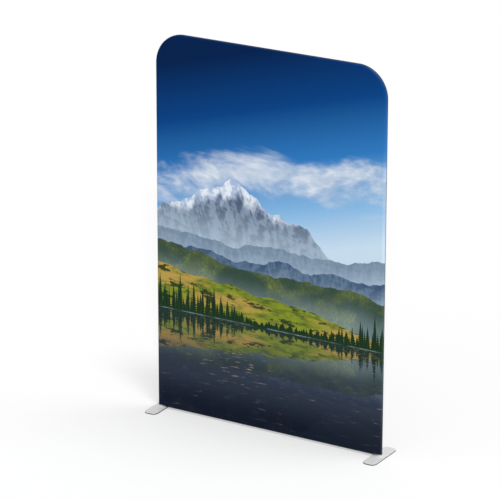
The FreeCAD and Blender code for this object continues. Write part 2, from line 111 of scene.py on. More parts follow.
# The sewing: each stitch's shape as place along it, thickness and lift, and the places of the stitch lines
STITCH_SHAPE = ((0.0, 0.45, -0.7), (0.22, 0.95, 0.15), (0.78, 0.95, 0.15), (1.0, 0.45, -0.7))
STITCH_SHARE = 0.8
STITCH_INSETS = (2.2 * MM, 6.0 * MM)
HEM_LINE = 4.4 * MM
HEM_LINE_INSET = 1 * MM
SEAM_STITCH_REACH = 1.5 * MM
SEAM_STITCH_SLANT = 0.28
SEAM_STITCH_DEPTH = 0.6
THREAD_TWIST = 0.7 * MM

# The zip: the tape's bead as distance from its edge and share of its height, and the clips at the ends
TWILL_PITCH = 0.8 * MM
TWILL_TURN = 1.5 * MM
TAPE_EDGE_DROP = 0.1 * MM
TAPE_EDGE_WIDTH = 0.3 * MM
TAPE_LIP = 0.2 * MM
TAPE_BEAD = ((4.3 * MM, 0.0), (3.9 * MM, 0.7), (3.6 * MM, 1.0), (3.3 * MM, 0.7), (3.0 * MM, 0.0))
PRONG_GAP = 0.25 * MM
BRIDGE_WIDTH = 1.4 * MM
BRIDGE_INSET = 0.7 * MM
BRIDGE_HEIGHT = 1.5 * MM
CLIP_ROUND = 0.3 * MM

# The springs and the mats under the feet
SPRING_CREASE = math.radians(35)
MAT_CORNER = 25 * MM
MAT_OPENING = 13 * MM
RIB_SHARE = 0.55
RIB_MARGIN = 0.6 * MM

# How a cloth's outer face and its lining share the map for baking
BAKE_MARGIN = 0.005
FACE_SHARE = 0.91
LINING_START = 0.925
LINING_SHARE = 0.07

# Each light's azimuth, elevation and spread in degrees: azimuth 0 is the front and 90 the right
LIGHT_PLACES = {"front": (31, 28, 8), "side": (51, 69, 11), "back": (112, 66, 30)}


# Settings that a user would change
def length(name, description, default):
    return FloatProperty(
        name=name, description=description, default=default, min=0, unit="LENGTH", precision=5
    )


def angle(name, description, degrees):
    return FloatProperty(name=name, description=description, default=math.radians(degrees), subtype="ANGLE")


def share(name, description, default):
    return FloatProperty(name=name, description=description, default=default, min=0, max=1, subtype="FACTOR")


def strength(name, description, default):
    return FloatProperty(name=name, description=description, default=default, min=0, soft_max=5)


def colour(name, description, red, green, blue):
    return FloatVectorProperty(
        name=name, description=description, default=(red, green, blue), size=3, min=0, max=1, subtype="COLOR"
    )


class CoverSettings(PropertyGroup):
    corner_radius: length("Corner radius", "Outer radius of the wall's two top corners", 0.185)
    cloth_thickness: length("Cloth thickness", "Thickness of the stretch cloth", 0.6 * MM)
    grid_step: length("Grid step", "Size of the cloth's mesh cells", 12 * MM)
    slit: length("Hem slit", "Gap between the lower flap and the corner hems", 1 * MM)
    hem_width: length("Hem width", "Width of the folded hems", 8 * MM)
    hem_rise: length("Hem rise", "How far the second layer lifts a hem", 0.45 * MM)
    seam_dip: length("Seam dip", "How deep the edge seam draws the cloth in", 0.7 * MM)
    seam_pucker: length("Seam pucker", "Height of the ripples along the edge seam", 0.14 * MM)
    pucker_length: length("Pucker length", "Length of one ripple along the edge seam", 54 * MM)
    edge_shine: share("Edge shine", "Shine of the cloth where it is drawn round the edge", 0.5)
    knit_pitch: length("Knit pitch", "Spacing of the knit's ribs", 0.9 * MM)
    stitch_pitch: length("Stitch pitch", "Spacing of the stitches", 3.2 * MM)
    thread_radius: length("Thread radius", "Half the thickness of the sewing thread", 0.24 * MM)
    back_colour: colour("Back", "Colour of the plain back", 0.020, 0.028, 0.050)
    lining_colour: colour("Lining", "Colour of the unprinted inner face", 0.62, 0.63, 0.65)
    thread_colour: colour("Thread", "Colour of the sewing thread", 0.015, 0.02, 0.035)


class PrintSettings(PropertyGroup):
    shore_z: length("Shore height", "Height of the waterline on the wall", 0.64)
    sky_top: colour("High sky", "Sky at the top of the print", 0.0006, 0.016, 0.078)
    sky_deep: colour("Deep sky", "Sky below the top", 0.002, 0.056, 0.235)
    sky_middle: colour("Middle sky", "Sky half-way down", 0.03, 0.20, 0.53)
    sky_low: colour("Low sky", "Sky near the ridges", 0.25, 0.50, 0.80)
    haze: colour("Haze", "Pale air in the distance", 0.60, 0.76, 0.90)
    cloud_light: colour("Cloud light", "Lit side of the clouds", 0.92, 0.94, 0.97)
    cloud_shade: colour("Cloud shade", "Shaded side of the clouds", 0.36, 0.50, 0.70)
    rock: colour("Rock", "Lit rock of the far peaks", 0.22, 0.29, 0.40)
    snow: colour("Snow", "Snow on the far peaks", 0.84, 0.89, 0.96)
    blue_ridge: colour("Blue ridge", "Ridges in the middle distance", 0.035, 0.10, 0.20)
    wood: colour("Wood", "Wooded hills", 0.022, 0.068, 0.026)
    meadow: colour("Meadow", "Sunlit slopes", 0.26, 0.32, 0.025)
    dry_grass: colour("Dry grass", "Ochre patches of the slopes", 0.50, 0.33, 0.08)
    fir: colour("Firs", "Trees along the shore", 0.011, 0.033, 0.014)
    deep_water: colour("Deep water", "Water in the lower part of the print", 0.028, 0.038, 0.062)
    near_water: colour("Near water", "Water at the foot of the print", 0.004, 0.007, 0.018)
    water_sheen: colour("Water sheen", "Pale streaks on the water", 0.10, 0.13, 0.19)
    water_glint: colour("Water glint", "Warm streaks on the water", 0.48, 0.35, 0.20)


class ZipSettings(PropertyGroup):
    coil_pitch: length("Coil pitch", "Spacing of the zip's loops", 1.5 * MM)
    coil_wire: length("Coil wire", "Thickness of the zip's looped wire", 0.62 * MM)
    head_gap: length("Head gap", "Gap between the heads of the two rows", 0.8 * MM)
    tape_step: length("Tape step", "Length of the tape's mesh cells", 10 * MM)
    cord_rise: length("Cord rise", "Height of the bead along the tape's inner edge", 0.5 * MM)
    tape_colour: colour("Tape", "Colour of the woven tape", 0.016, 0.018, 0.024)
    coil_colour: colour("Coil", "Colour of the nylon loops", 0.030, 0.032, 0.038)
    metal_colour: colour("Metal", "Colour of the slider and its tab", 0.42, 0.43, 0.45)


class FrameSettings(PropertyGroup):
    tube_colour: colour("Tubes", "Colour of the anodised tubes", 0.70, 0.71, 0.73)
    joiner_colour: colour("Joiners", "Colour of the joiners, stubs and plugs", 0.58, 0.59, 0.61)
    fastener_colour: colour("Fasteners", "Colour of the plated buttons, springs and screws", 0.50, 0.51, 0.53)


class FootSettings(PropertyGroup):
    coat_colour: colour("Coat", "Colour of the feet's satin coat", 0.80, 0.805, 0.81)
    # The feet's sides are painted this dark as shade
    side_shade_colour: colour("Edge", "Colour of the feet's cut edge", 0.035, 0.036, 0.04)
    rubber_colour: colour("Mat", "Colour of the anti-slip mats", 0.022, 0.022, 0.024)
    washer_colour: colour("Washer", "Colour of the glide washers", 0.74, 0.74, 0.72)
    rib_pitch: length("Rib pitch", "Spacing of the ribs under a mat", 5 * MM)
    rib_height: length("Rib height", "Height of the ribs under a mat", 0.4 * MM)


class StageSettings(PropertyGroup):
    azimuth: angle("Azimuth", "How far the camera stands to the right of the front", 30.849)
    elevation: angle("Elevation", "How far the camera looks down", 19.292)
    roll: angle("Roll", "How far the camera leans", 0.102)
    distance: length("Distance", "From the camera to the middle of the wall", 17.8908)
    slide_right: length("Slide right", "How far the wall stands right of the picture's middle", 0.109126)
    slide_up: length("Slide up", "How far the wall's middle stands above the picture's", 0.033698)
    focal_pixels: FloatProperty(
        name="Focal length in pixels", description="Focal length for a picture 500 pixels wide", default=3146.512
    )
    picture_pixels: IntProperty(name="Picture width", description="Width of the picture in pixels", default=500)
    floor_colour: colour("Floor", "Colour of the floor", 0.75, 0.75, 0.75)
    floor_glow: share("Floor glow", "Light that the floor adds in the picture, to read as white", 0.27)
    sky_strength: share("Sky strength", "Even light from all round", 0.36)
    front_strength: strength("Front light", "Light from beside the camera", 1.4)
    side_strength: strength("Side light", "Soft light from high on the right", 0.8)
    back_strength: strength("Back light", "Soft light from the right and a little behind", 0.6)


class WallSettings(PropertyGroup):
    cover: PointerProperty(type=CoverSettings)
    print_view: PointerProperty(type=PrintSettings)
    zip: PointerProperty(type=ZipSettings)
    frame: PointerProperty(type=FrameSettings)
    foot: PointerProperty(type=FootSettings)
    stage: PointerProperty(type=StageSettings)


# Materials
class Signal:
    """A value that changes over a surface: a node's output, with arithmetic that adds Math nodes."""

    def __init__(self, finish, socket):
        self.finish = finish
        self.socket = socket

    def __add__(self, other):
        return self.finish.math("ADD", self, other)

    def __radd__(self, other):
        return self.finish.math("ADD", other, self)

    def __sub__(self, other):
        return self.finish.math("SUBTRACT", self, other)

    def __rsub__(self, other):
        return self.finish.math("SUBTRACT", other, self)

    def __mul__(self, other):
        return self.finish.math("MULTIPLY", self, other)

    def __rmul__(self, other):
        return self.finish.math("MULTIPLY", other, self)

    def __truediv__(self, other):
        return self.finish.math("DIVIDE", self, other)

    def __rtruediv__(self, other):
        return self.finish.math("DIVIDE", other, self)

    def __abs__(self):
        return self.finish.math("ABSOLUTE", self)


class Finish:
    """A material, or a world's light, and the nodes that make it."""

    def __init__(self, name, kind="materials"):
        self.owner = getattr(bpy.data, kind).new(name)
        self.owner.use_nodes = True
        self.tree = self.owner.node_tree
        self.tree.nodes.clear()

    def node(self, kind, settings=None, sockets=None):
        """Adds a node: first its settings, then the values or links of its sockets, by name or by number."""
        made = self.tree.nodes.new("ShaderNode" + kind)
        for name, value in (settings or {}).items():
            if name == "stops":
                self.set_stops(made.color_ramp, value)
            else:
                setattr(made, name, value)
        for key, value in (sockets or {}).items():
            socket = made.inputs[key] if isinstance(key, int) else self.open_input(made, key)
            if isinstance(value, Signal):
                self.tree.links.new(value.socket, socket)
            else:
                socket.default_value = value
        return made

    @staticmethod
    def open_input(node, name):
        """The input of that name that the node's settings leave in use."""
        return next(socket for socket in node.inputs if socket.name == name and socket.enabled)

    @staticmethod
    def set_stops(ramp, stops):
        while len(ramp.elements) < len(stops):
            ramp.elements.new(1)
        for element, (position, value) in zip(ramp.elements, stops):
            element.position = position
            element.color = (*value, 1)

    def out(self, node, name=None):
        """One of a node's outputs: the named one, or the first that is in use."""
        outputs = [socket for socket in node.outputs if socket.enabled]
        return Signal(self, outputs[0] if name is None else next(s for s in outputs if s.name == name))

    def math(self, operation, *values):
        return self.out(self.node("Math", {"operation": operation}, dict(enumerate(values))))

    def rise(self, value, start, end):
        """Goes smoothly from 0 at start to 1 at end."""
        sockets = {"Value": value, "From Min": start, "From Max": end}
        return self.out(self.node("MapRange", {"interpolation_type": "SMOOTHSTEP"}, sockets))

    def mix(self, factor, first, second, blend="MIX"):
        """A colour between two others."""
        sockets = {"Factor": factor, "A": self.rgba(first), "B": self.rgba(second)}
        return self.out(self.node("Mix", {"data_type": "RGBA", "blend_type": blend}, sockets))

    @staticmethod
    def rgba(value):
        return value if isinstance(value, Signal) else (*value, 1)

    def parts(self, vector):
        """A vector's X, Y and Z."""
        split = self.node("SeparateXYZ", None, {"Vector": vector})
        return tuple(self.out(split, axis) for axis in "XYZ")

    def place(self):
        """X, Y and Z on the piece as it stands at rest."""
        return self.parts(self.out(self.node("TexCoord"), "Object"))

    def flat_place(self):
        """X and Z on the cloth as it was cut, before it went round the tubes."""
        return self.parts(self.out(self.node("UVMap", {"uv_map": FLAT_MAP})))[:2]

    def normal_z(self):
        """How far the surface faces upwards."""
        return self.parts(self.out(self.node("NewGeometry"), "Normal"))[2]

    def point(self, x, y, z):
        return self.out(self.node("CombineXYZ", None, {"X": x, "Y": y, "Z": z}))

    def noise(self, where, scale=1, detail=2, roughness=0.5, distortion=0):
        """Soft noise from 0 to 1 at a point, or along a line where the place is one number."""
        in_space = where.socket.type == "VECTOR"
        sockets = {
            "Vector" if in_space else "W": where,
            "Scale": scale,
            "Detail": detail,
            "Roughness": roughness,
            "Distortion": distortion,
        }
        return self.out(self.node("TexNoise", {"noise_dimensions": "3D" if in_space else "1D"}, sockets))

    def surface(self, tone, roughness, height, bump_distance, **others):
        """Ends the material in a Principled shader: others are its further sockets, with _ for a space."""
        bump = self.node("Bump", None, {"Height": height, "Distance": bump_distance, "Strength": 1})
        sockets = {"Base Color": self.rgba(tone), "Roughness": roughness, "Normal": self.out(bump)}
        sockets.update({name.replace("_", " "): value for name, value in others.items()})
        shader = self.node("BsdfPrincipled", None, sockets)
        self.node("OutputMaterial", None, {"Surface": self.out(shader)})
        return self.owner


def toned(tint, times, plus=0.0):
    """A colour made darker or paler."""
    return tuple(min(1, part * times + plus) for part in tint)


def knit_height(finish, x, z, pitch):
    """The relief of a fine stretch knit: upright ribs crossed by rows of loops."""
    ribs = finish.math("SINE", x * (2 * math.pi / pitch))
    loops = finish.math("SINE", z * (2 * math.pi / pitch) + ribs * 0.8)
    return ribs * 0.3 + loops * 0.2 + 0.5


def stretch_cloth(finish, x, z, tone, cover):
    """The cover's cloth: matt, with a shine where it is drawn round the edge, and darker in the seam, partly
    with the thread's colour and partly as painted shade in the seam's groove.
    """
    height = knit_height(finish, x, z, cover.knit_pitch)
    _, y, _ = finish.place()
    drawn = finish.rise(abs(y), *SEAM_SHADOW)
    tight = finish.rise(abs(y), *RIM_SHINE)
    worn = finish.noise(finish.point(x, 0, z), scale=6, detail=3)
    knitted = finish.mix(0.10, tone, finish.mix(height, (0, 0, 0), (1, 1, 1)), "OVERLAY")
    # Darker along the seam: partly the thread's colour, partly painted shade in the seam's groove
    sewn = finish.mix(drawn * 0.35, knitted, cover.thread_colour)
    return finish.surface(
        sewn,
        0.70 + worn * 0.16,
        height,
        0.05 * MM,
        Specular_IOR_Level=0.05,
        Sheen_Weight=0.05,
        Sheen_Roughness=0.30,
        Coat_Weight=tight * cover.edge_shine,
        Coat_Roughness=0.38,
    )


class PrintedView:
    """A generic view of a lake under hazy ridges, as one colour over the wall's face."""

    def __init__(self, finish, x, z, colours):
        self.finish = finish
        self.colours = colours
        below = finish.math("MAXIMUM", colours.shore_z - z, 0)
        self.water = finish.rise(z, colours.shore_z + 1 * MM, colours.shore_z - 1 * MM)
        self.depth = finish.rise(below, 0, colours.shore_z)
        nearness = 1 / (below + 0.25)
        waves = finish.point(x * nearness * 7, 0, nearness * 30)
        self.ripple = finish.noise(waves, detail=3, roughness=0.55) - 0.5
        self.x = x + self.water * self.ripple * 0.03
        stretched = below * 0.12 + self.ripple * (below * 0.16 + 0.02)
        self.z = abs(z - colours.shore_z) + self.water * stretched + colours.shore_z

    def at(self, across, up, shift):
        """A point of the view, scaled across and up, and shifted to another part of the noise."""
        return self.finish.point(self.x * across + shift, shift, self.z * up)

    def line(self, base, swing, scale, start, detail=7):
        """The height of a ridge along the view."""
        profile = self.finish.noise(self.x + start, scale=scale, detail=detail, roughness=0.52)
        return (profile - 0.5) * (2 * swing) + base

    def below_line(self, ridge, softness=1.5 * MM):
        return self.finish.rise(self.z - ridge, softness, -softness)

    def sky(self):
        """A clear sky, deep at the top and on the left, pale above the ridges."""
        c = self.colours
        foot_z = 1.08
        height = (self.z - foot_z) / (WALL_HEIGHT - foot_z) - self.x * 0.22
        stops = [(0, c.haze), (0.2, c.sky_low), (0.45, c.sky_middle), (0.72, c.sky_deep), (1, c.sky_top)]
        return self.finish.out(self.finish.node("ValToRGB", {"stops": stops}, {"Fac": height}), "Color")

    def clouds(self, behind):
        """Long fair-weather clouds, lit from the upper left."""
        f, c = self.finish, self.colours
        across, up, start, towards_light, swirl = 1.35, 3.4, 4.7, 0.035, 0.25
        body = f.noise(self.at(across, up, start), detail=9, roughness=0.56, distortion=swirl)
        lit_side = f.noise(self.at(across, up, start - towards_light), detail=4, distortion=swirl)
        band = abs(self.z - 1.56 - self.x * 0.16)
        cover = f.rise(body - band * 0.85, 0.40, 0.62)
        light = f.rise(body - lit_side, -0.10, 0.09)
        return f.mix(cover * 0.94, behind, f.mix(light, c.cloud_shade, c.cloud_light))

    def relief(self, across, up, shift, step, gain):
        """Light on rough ground, from 0 in the shade to 1 where its folds face the upper left."""
        f = self.finish
        folds = []
        for place in (shift, shift + step):
            where = f.point(self.x * across + self.z * (0.35 * across) + place, shift, self.z * up - place)
            folds.append(abs(f.noise(where, detail=9, roughness=0.58) - 0.5))
        return f.rise((folds[0] - folds[1]) * gain, -0.5, 0.5)

    def peaks(self, behind):
        """The far peaks, with snow on top and haze at their feet."""
        f, c = self.finish, self.colours
        ridge = self.line(1.50, 0.085, 4.2, 3.0) - abs(self.x + 0.24) * 0.52
        light = self.relief(4.6, 3.0, 1.3, 0.05, 14)
        patches = f.noise(self.at(9, 5, 9.1), detail=7, roughness=0.65)
        snow = f.rise(self.z - ridge * 0.5 + patches * 0.34, 0.78, 0.86)
        lit = f.mix(snow, c.rock, c.snow)
        dark = f.mix(snow, f.mix(0.7, c.rock, c.sky_top), f.mix(0.55, c.snow, c.sky_middle))
        air = f.rise(self.z, 1.38, 1.0) * 0.62 + 0.03
        return f.mix(self.below_line(ridge), behind, f.mix(air, f.mix(light, dark, lit), c.haze))

    def blue_ridges(self, behind):
        """Two bare ridges in the middle distance, each fading into haze at its foot."""
        f, c = self.finish, self.colours
        view = behind
        far, near = (1.13, 0.10, 2.1, 11.0, 0.28), (1.04, 0.09, 2.8, 17.5, 0.05)
        for base, swing, scale, start, air in (far, near):
            ridge = self.line(base, swing, scale, start)
            light = self.relief(6.5, 4.4, start, 0.06, 11)
            ground = f.mix(light, f.mix(0.45, c.blue_ridge, c.sky_top), f.mix(0.30, c.blue_ridge, c.rock))
            mist = f.rise(ridge - self.z, 0.0, 0.24) * 0.50 + air
            view = f.mix(self.below_line(ridge), view, f.mix(mist, ground, c.haze))
        return view

    def woods(self, behind):
        """Wooded hills with a ragged skyline."""
        f, c = self.finish, self.colours
        crowns = f.noise(self.at(95, 60, 2.2), detail=4, roughness=0.65)
        ridge = self.line(0.97, 0.085, 1.9, 23.0, detail=4) + crowns * 0.022 - self.x * 0.06
        lit = f.rise(crowns, 0.40, 0.66) * self.relief(3.4, 4.0, 6.3, 0.08, 8)
        slope = f.rise(f.noise(self.at(5, 7, 6.3), detail=5), 0.42, 0.66)
        green = f.mix(slope * 0.75, c.wood, c.meadow)
        ground = f.mix(lit * 0.85, f.mix(0.72, green, c.fir), green)
        mist = f.rise(ridge - self.z, 0.03, 0.22) * 0.20 + 0.04
        return f.mix(self.below_line(ridge), behind, f.mix(mist, ground, c.haze))

    def meadows(self, behind):
        """Sunlit slopes with dry patches and clumps of bushes."""
        f, c = self.finish, self.colours
        ridge = self.line(0.82, 0.085, 1.35, 35.2, detail=3) - self.x * 0.12
        grass = f.noise(self.at(14, 46, 1.7), detail=8, roughness=0.66)
        patches = f.rise(f.noise(self.at(2.2, 9, 8.4), detail=4), 0.42, 0.60)
        green = f.mix(f.rise(grass, 0.32, 0.66), f.mix(0.70, c.meadow, c.wood), c.meadow)
        ground = f.mix(patches * f.rise(grass, 0.25, 0.6), green, c.dry_grass)
        clumps = f.noise(self.at(11, 34, 5.5), detail=6, roughness=0.6)
        bushes = f.rise(clumps, 0.565, 0.60)
        shaded = f.mix(f.rise(clumps, 0.60, 0.72) * 0.55, c.fir, c.wood)
        return f.mix(self.below_line(ridge, 3 * MM), behind, f.mix(bushes * 0.92, ground, shaded))

    def firs(self, behind):
        """Rows of firs along the shore, tall at the sides and low in the middle."""
        f, c = self.finish, self.colours
        ground = f.noise(self.x, scale=5, detail=3) * 0.02 + c.shore_z + 0.004
        sides = f.rise(abs(self.x - 0.14), 0.12, 0.66) * 0.80 + 0.20
        tier = 7 * MM
        tiers = f.math("PINGPONG", self.z, tier) / tier
        view = behind
        for width, offset, tallest in ((46 * MM, 0.3, 0.23), (33 * MM, 0.7, 0.19), (25 * MM, 0.1, 0.15)):
            column = self.x / width + offset
            number = f.math("FLOOR", column)
            random = f.out(f.node("TexWhiteNoise", {"noise_dimensions": "1D"}, {"W": number}), "Value")
            tall = (random * 0.65 + 0.35) * sides * tallest
            aside = abs(column - number - 0.5) * 2
            cone = (1 - (self.z - ground) / tall) * (tiers * 0.42 + 0.58)
            mask = f.math("MAXIMUM", f.rise(cone - aside, -0.06, 0.06), self.below_line(ground))
            light = f.rise(column - number, 0.62, 0.25) * tiers
            view = f.mix(mask, view, f.mix(light * 0.65, c.fir, c.wood))
        return view

    def lake(self, land):
        """The land mirrored in the water, darker towards the foot of the wall, with streaks of light."""
        f, c = self.finish, self.colours
        water = f.mix(f.rise(self.depth, 0.55, 1.0), c.deep_water, c.near_water)
        dark = f.mix(f.rise(self.depth, -0.25, 0.62) * 0.99, land, water)
        streaks = f.rise(self.ripple, 0.05, 0.20) * (0.9 - self.depth * 0.8)
        sheen = f.mix(streaks * 0.55, dark, c.water_sheen)
        fields = f.noise(f.point(self.x * 2.2, 3.1, self.z * 3), detail=2)
        glints = f.rise(self.ripple + fields * 0.5, 0.40, 0.52) * (1 - self.depth * 0.8)
        lit = f.mix(glints * 0.75, sheen, c.water_glint)
        glimmer = f.rise(f.noise(self.x, scale=7, detail=3), 0.36, 0.62)
        shore = f.rise(abs(self.z - c.shore_z), 5 * MM, 0) * glimmer * 0.30
        return f.mix(shore, f.mix(self.water, land, lit), c.haze)

    def colour(self):
        land = self.sky()
        for layer in (self.clouds, self.peaks, self.blue_ridges, self.woods, self.meadows, self.firs):
            land = layer(land)
        return self.lake(land)


def printed_cloth(wall):
    finish = Finish("printed_cloth")
    x, z = finish.flat_place()
    view = PrintedView(finish, x, z, wall.print_view)
    return stretch_cloth(finish, x, z, view.colour(), wall.cover)


def plain_cloth(wall):
    finish = Finish("plain_cloth")
    x, z = finish.flat_place()
    melange = finish.noise(finish.point(x * 1.6, 0, z), scale=420, detail=3, roughness=0.7)
    pull = finish.noise(finish.point(x, 0, z * 0.25), scale=5, detail=3)
    pale = toned(wall.cover.back_colour, 1.9, 0.01)
    tone = finish.mix(melange * 0.5 + pull * 0.3, wall.cover.back_colour, pale)
    return stretch_cloth(finish, x, z, tone, wall.cover)


def cloth_lining(wall):
    """The unprinted inner face of the front's cloth."""
    finish = Finish("cloth_lining")
    x, z = finish.flat_place()
    cloudy = finish.noise(finish.point(x, 0, z), scale=9, detail=3)
    shade = toned(wall.cover.lining_colour, 0.85)
    return stretch_cloth(finish, x, z, finish.mix(cloudy, wall.cover.lining_colour, shade), wall.cover)


def sewing_thread(wall):
    finish = Finish("sewing_thread")
    x, y, z = finish.place()
    twist = finish.math("SINE", (x + y + z) * (2 * math.pi / THREAD_TWIST)) * 0.5 + 0.5
    pale = toned(wall.cover.thread_colour, 2.5)
    return finish.surface(
        finish.mix(twist, wall.cover.thread_colour, pale), 0.5 + twist * 0.15, twist, 0.04 * MM, Sheen_Weight=0.1
    )


def woven_tape(wall):
    """Herringbone tape."""
    finish = Finish("woven_tape")
    x, y, z = finish.place()
    zigzag = finish.math("PINGPONG", z, TWILL_TURN)
    twill = finish.math("SINE", (x + zigzag) * (2 * math.pi / TWILL_PITCH)) * 0.5 + 0.5
    fuzz = finish.noise(finish.point(x, y, z), scale=900, detail=2)
    pale = toned(wall.zip.tape_colour, 2.4, 0.004)
    tone = finish.mix(twill * 0.7 + fuzz * 0.2, wall.zip.tape_colour, pale)
    return finish.surface(tone, 0.72 + fuzz * 0.15, twill, 0.08 * MM, Sheen_Weight=0.25, Sheen_Roughness=0.5)


def coil_nylon(wall):
    finish = Finish("coil_nylon")
    x, y, z = finish.place()
    rub = finish.noise(finish.point(x, y, z), scale=260, detail=4)
    worn = finish.rise(y, TEETH_UPPER[1].y - 0.5 * MM, TEETH_UPPER[1].y) * 0.5
    pale = toned(wall.zip.coil_colour, 2.2, 0.01)
    return finish.surface(
        finish.mix(rub * 0.4 + worn, wall.zip.coil_colour, pale), 0.34 + rub * 0.18, rub, 0.02 * MM
    )


def plated_metal(name, tint, grain_scale):
    """Plated metal with fine marks from handling."""
    finish = Finish(name)
    x, y, z = finish.place()
    where = finish.point(x, y, z)
    cloudy = finish.noise(where, scale=grain_scale * 0.12, detail=4)
    marks = finish.noise(where, scale=grain_scale, detail=6, roughness=0.7)
    dark = toned(tint, 0.72)
    tone = finish.mix(finish.rise(cloudy + marks * 0.4, 0.45, 0.95), tint, dark)
    return finish.surface(tone, 0.26 + marks * 0.22, marks, 0.02 * MM, Metallic=1.0)


def drawn_aluminium(name, tint, along, base_roughness):
    """Aluminium with draw lines along its length: along gives how finely X, Y and Z are cut."""
    finish = Finish(name)
    x, y, z = finish.place()
    lines = finish.noise(finish.point(x * along[0], y * along[1], z * along[2]), detail=4, roughness=0.6)
    cloudy = finish.noise(finish.point(x, y, z), scale=30, detail=3)
    dark = toned(tint, 0.80)
    tone = finish.mix(lines * 0.6 + cloudy * 0.3, tint, dark)
    return finish.surface(tone, base_roughness + lines * 0.16, lines, 0.01 * MM, Metallic=1.0)


def foot_coat(wall, side):
    """Satin coat with a fine grain, thin along the rim, where it is also paler as a painted highlight, and with
    painted shade darkening its sides.
    """
    finish = Finish("foot_coat_left" if side < 0 else "foot_coat_right")
    x, y, z = finish.place()
    where = finish.point(x, y, z)
    grain = finish.noise(where, scale=1500, detail=3, roughness=0.6)
    brush = finish.noise(finish.point(x * 900, y * 12, z * 900), detail=3)
    scuffs = finish.rise(finish.noise(finish.point(x * 60, y * 25, z), detail=5, roughness=0.7), 0.62, 0.78)
    up = finish.normal_z()
    top = finish.rise(up, 0.25, 0.65)
    # Where the rim rounds over: paler, partly as the coat worn thin and partly as a painted highlight
    rim = finish.rise(up, 0.60, 0.80) * finish.rise(up, 0.999, 0.93)
    shade = toned(wall.foot.coat_colour, 0.84)
    pale = toned(wall.foot.coat_colour, 1.25)
    coat = finish.mix(brush * 0.6 + scuffs * 0.2, wall.foot.coat_colour, shade)
    worn_and_highlighted_rim = finish.mix(rim * 0.8, coat, pale)
    # The sides, facing away from the top, take the dark colour as painted shade
    tone = finish.mix(top, wall.foot.side_shade_colour, worn_and_highlighted_rim)
    rough = 0.46 + brush * 0.10 + scuffs * 0.08 + (1 - top) * 0.2
    return finish.surface(tone, rough, grain * 0.5 + brush * 0.5, 0.02 * MM, Metallic=0.05)


def mat_rubber(wall):
    finish = Finish("mat_rubber")
    x, y, z = finish.place()
    where = finish.point(x, y, z)
    dust = finish.rise(finish.noise(where, scale=70, detail=5, roughness=0.65), 0.45, 0.8)
    grit = finish.noise(where, scale=2200, detail=2)
    pale = toned(wall.foot.rubber_colour, 2.6)
    return finish.surface(
        finish.mix(dust * 0.6, wall.foot.rubber_colour, pale), 0.72 + grit * 0.18, grit, 0.05 * MM
    )


def washer_nylon(wall):
    finish = Finish("washer_nylon")
    x, y, z = finish.place()
    flow = finish.noise(finish.point(x, y, z), scale=180, detail=4)
    shade = toned(wall.foot.washer_colour, 0.86)
    tone = finish.mix(flow, wall.foot.washer_colour, shade)
    return finish.surface(tone, 0.42 + flow * 0.15, flow, 0.02 * MM)


# Meshes
def add_object(name, mesh, material, smooth):
    """Puts a mesh into the scene, shaded smooth or flat."""
    if smooth:
        mesh.shade_smooth()
    mesh.materials.append(material)
    made = bpy.data.objects.new(name, mesh)
    bpy.context.scene.collection.objects.link(made)
    return made


def add_mesh(name, points, faces, material, smooth=True, flat=None):
    """A new object from points and faces; flat gives each point's place on the flat cut."""
    mesh = bpy.data.meshes.new(name)
    mesh.from_pydata([tuple(p) for p in points], [], [tuple(f) for f in faces])
    if flat is not None:
        corners = np.zeros(len(mesh.loops), np.int32)
        mesh.loops.foreach_get("vertex_index", corners)
        layer = mesh.uv_layers.new(name=FLAT_MAP)
        layer.uv.foreach_set("vector", np.array(flat, np.float32)[corners].ravel())
    return add_object(name, mesh, material, smooth)


def add_built(name, built, material, smooth):
    """A new object from a bmesh, which is freed."""
    mesh = bpy.data.meshes.new(name)
    built.to_mesh(mesh)
    built.free()
    return add_object(name, mesh, material, smooth)


def add_block(built, centre, size):
    """Adds a block to a bmesh."""
    bmesh.ops.create_cube(built, size=1, matrix=Matrix.Translation(centre) @ Matrix.Diagonal((*size, 1)))


def tube_faces(rings, sides, first=0):
    """Faces of a closed tube from its rings of points, which follow each other from the first point on."""
    faces = []
    for ring in range(rings - 1):
        for side in range(sides):
            a = first + ring * sides + side
            b = first + ring * sides + (side + 1) % sides
            faces.append((a, b, b + sides, a + sides))
    faces.append(tuple(first + side for side in reversed(range(sides))))
    faces.append(tuple(first + (rings - 1) * sides + side for side in range(sides)))
    return faces


class Cloth:
    """A sheet laid out in strips: each point has a place in space and one on the flat cut."""

    def __init__(self):
        self.points = []
        self.flat = []
        self.faces = []

    def row(self, points, flat):
        first = len(self.points)
        self.points += [tuple(p) for p in points]
        self.flat += [tuple(p) for p in flat]
        return list(range(first, len(self.points)))

    def strip(self, first, second):
        """Cells between two rows of the same count."""
        for a, b, c, d in zip(first, first[1:], second[1:], second):
            self.faces.append((a, b, c, d))

    def flat_size(self):
        places = np.array(self.flat)
        return tuple(places.max(0) - places.min(0))

    def flat_area(self):
        corners = np.array(self.flat)[np.array(self.faces)]
        across = corners[:, 2] - corners[:, 0]
        other = corners[:, 3] - corners[:, 1]
        return float(abs(across[:, 0] * other[:, 1] - across[:, 1] * other[:, 0]).sum() / 2)


def apply_modifiers(piece):
    """Gives a piece the mesh that its modifiers make."""
    graph = bpy.context.evaluated_depsgraph_get()
    shown = piece.evaluated_get(graph)
    mesh = bpy.data.meshes.new_from_object(shown, preserve_all_data_layers=True, depsgraph=graph)
    piece.modifiers.clear()
    piece.data = mesh


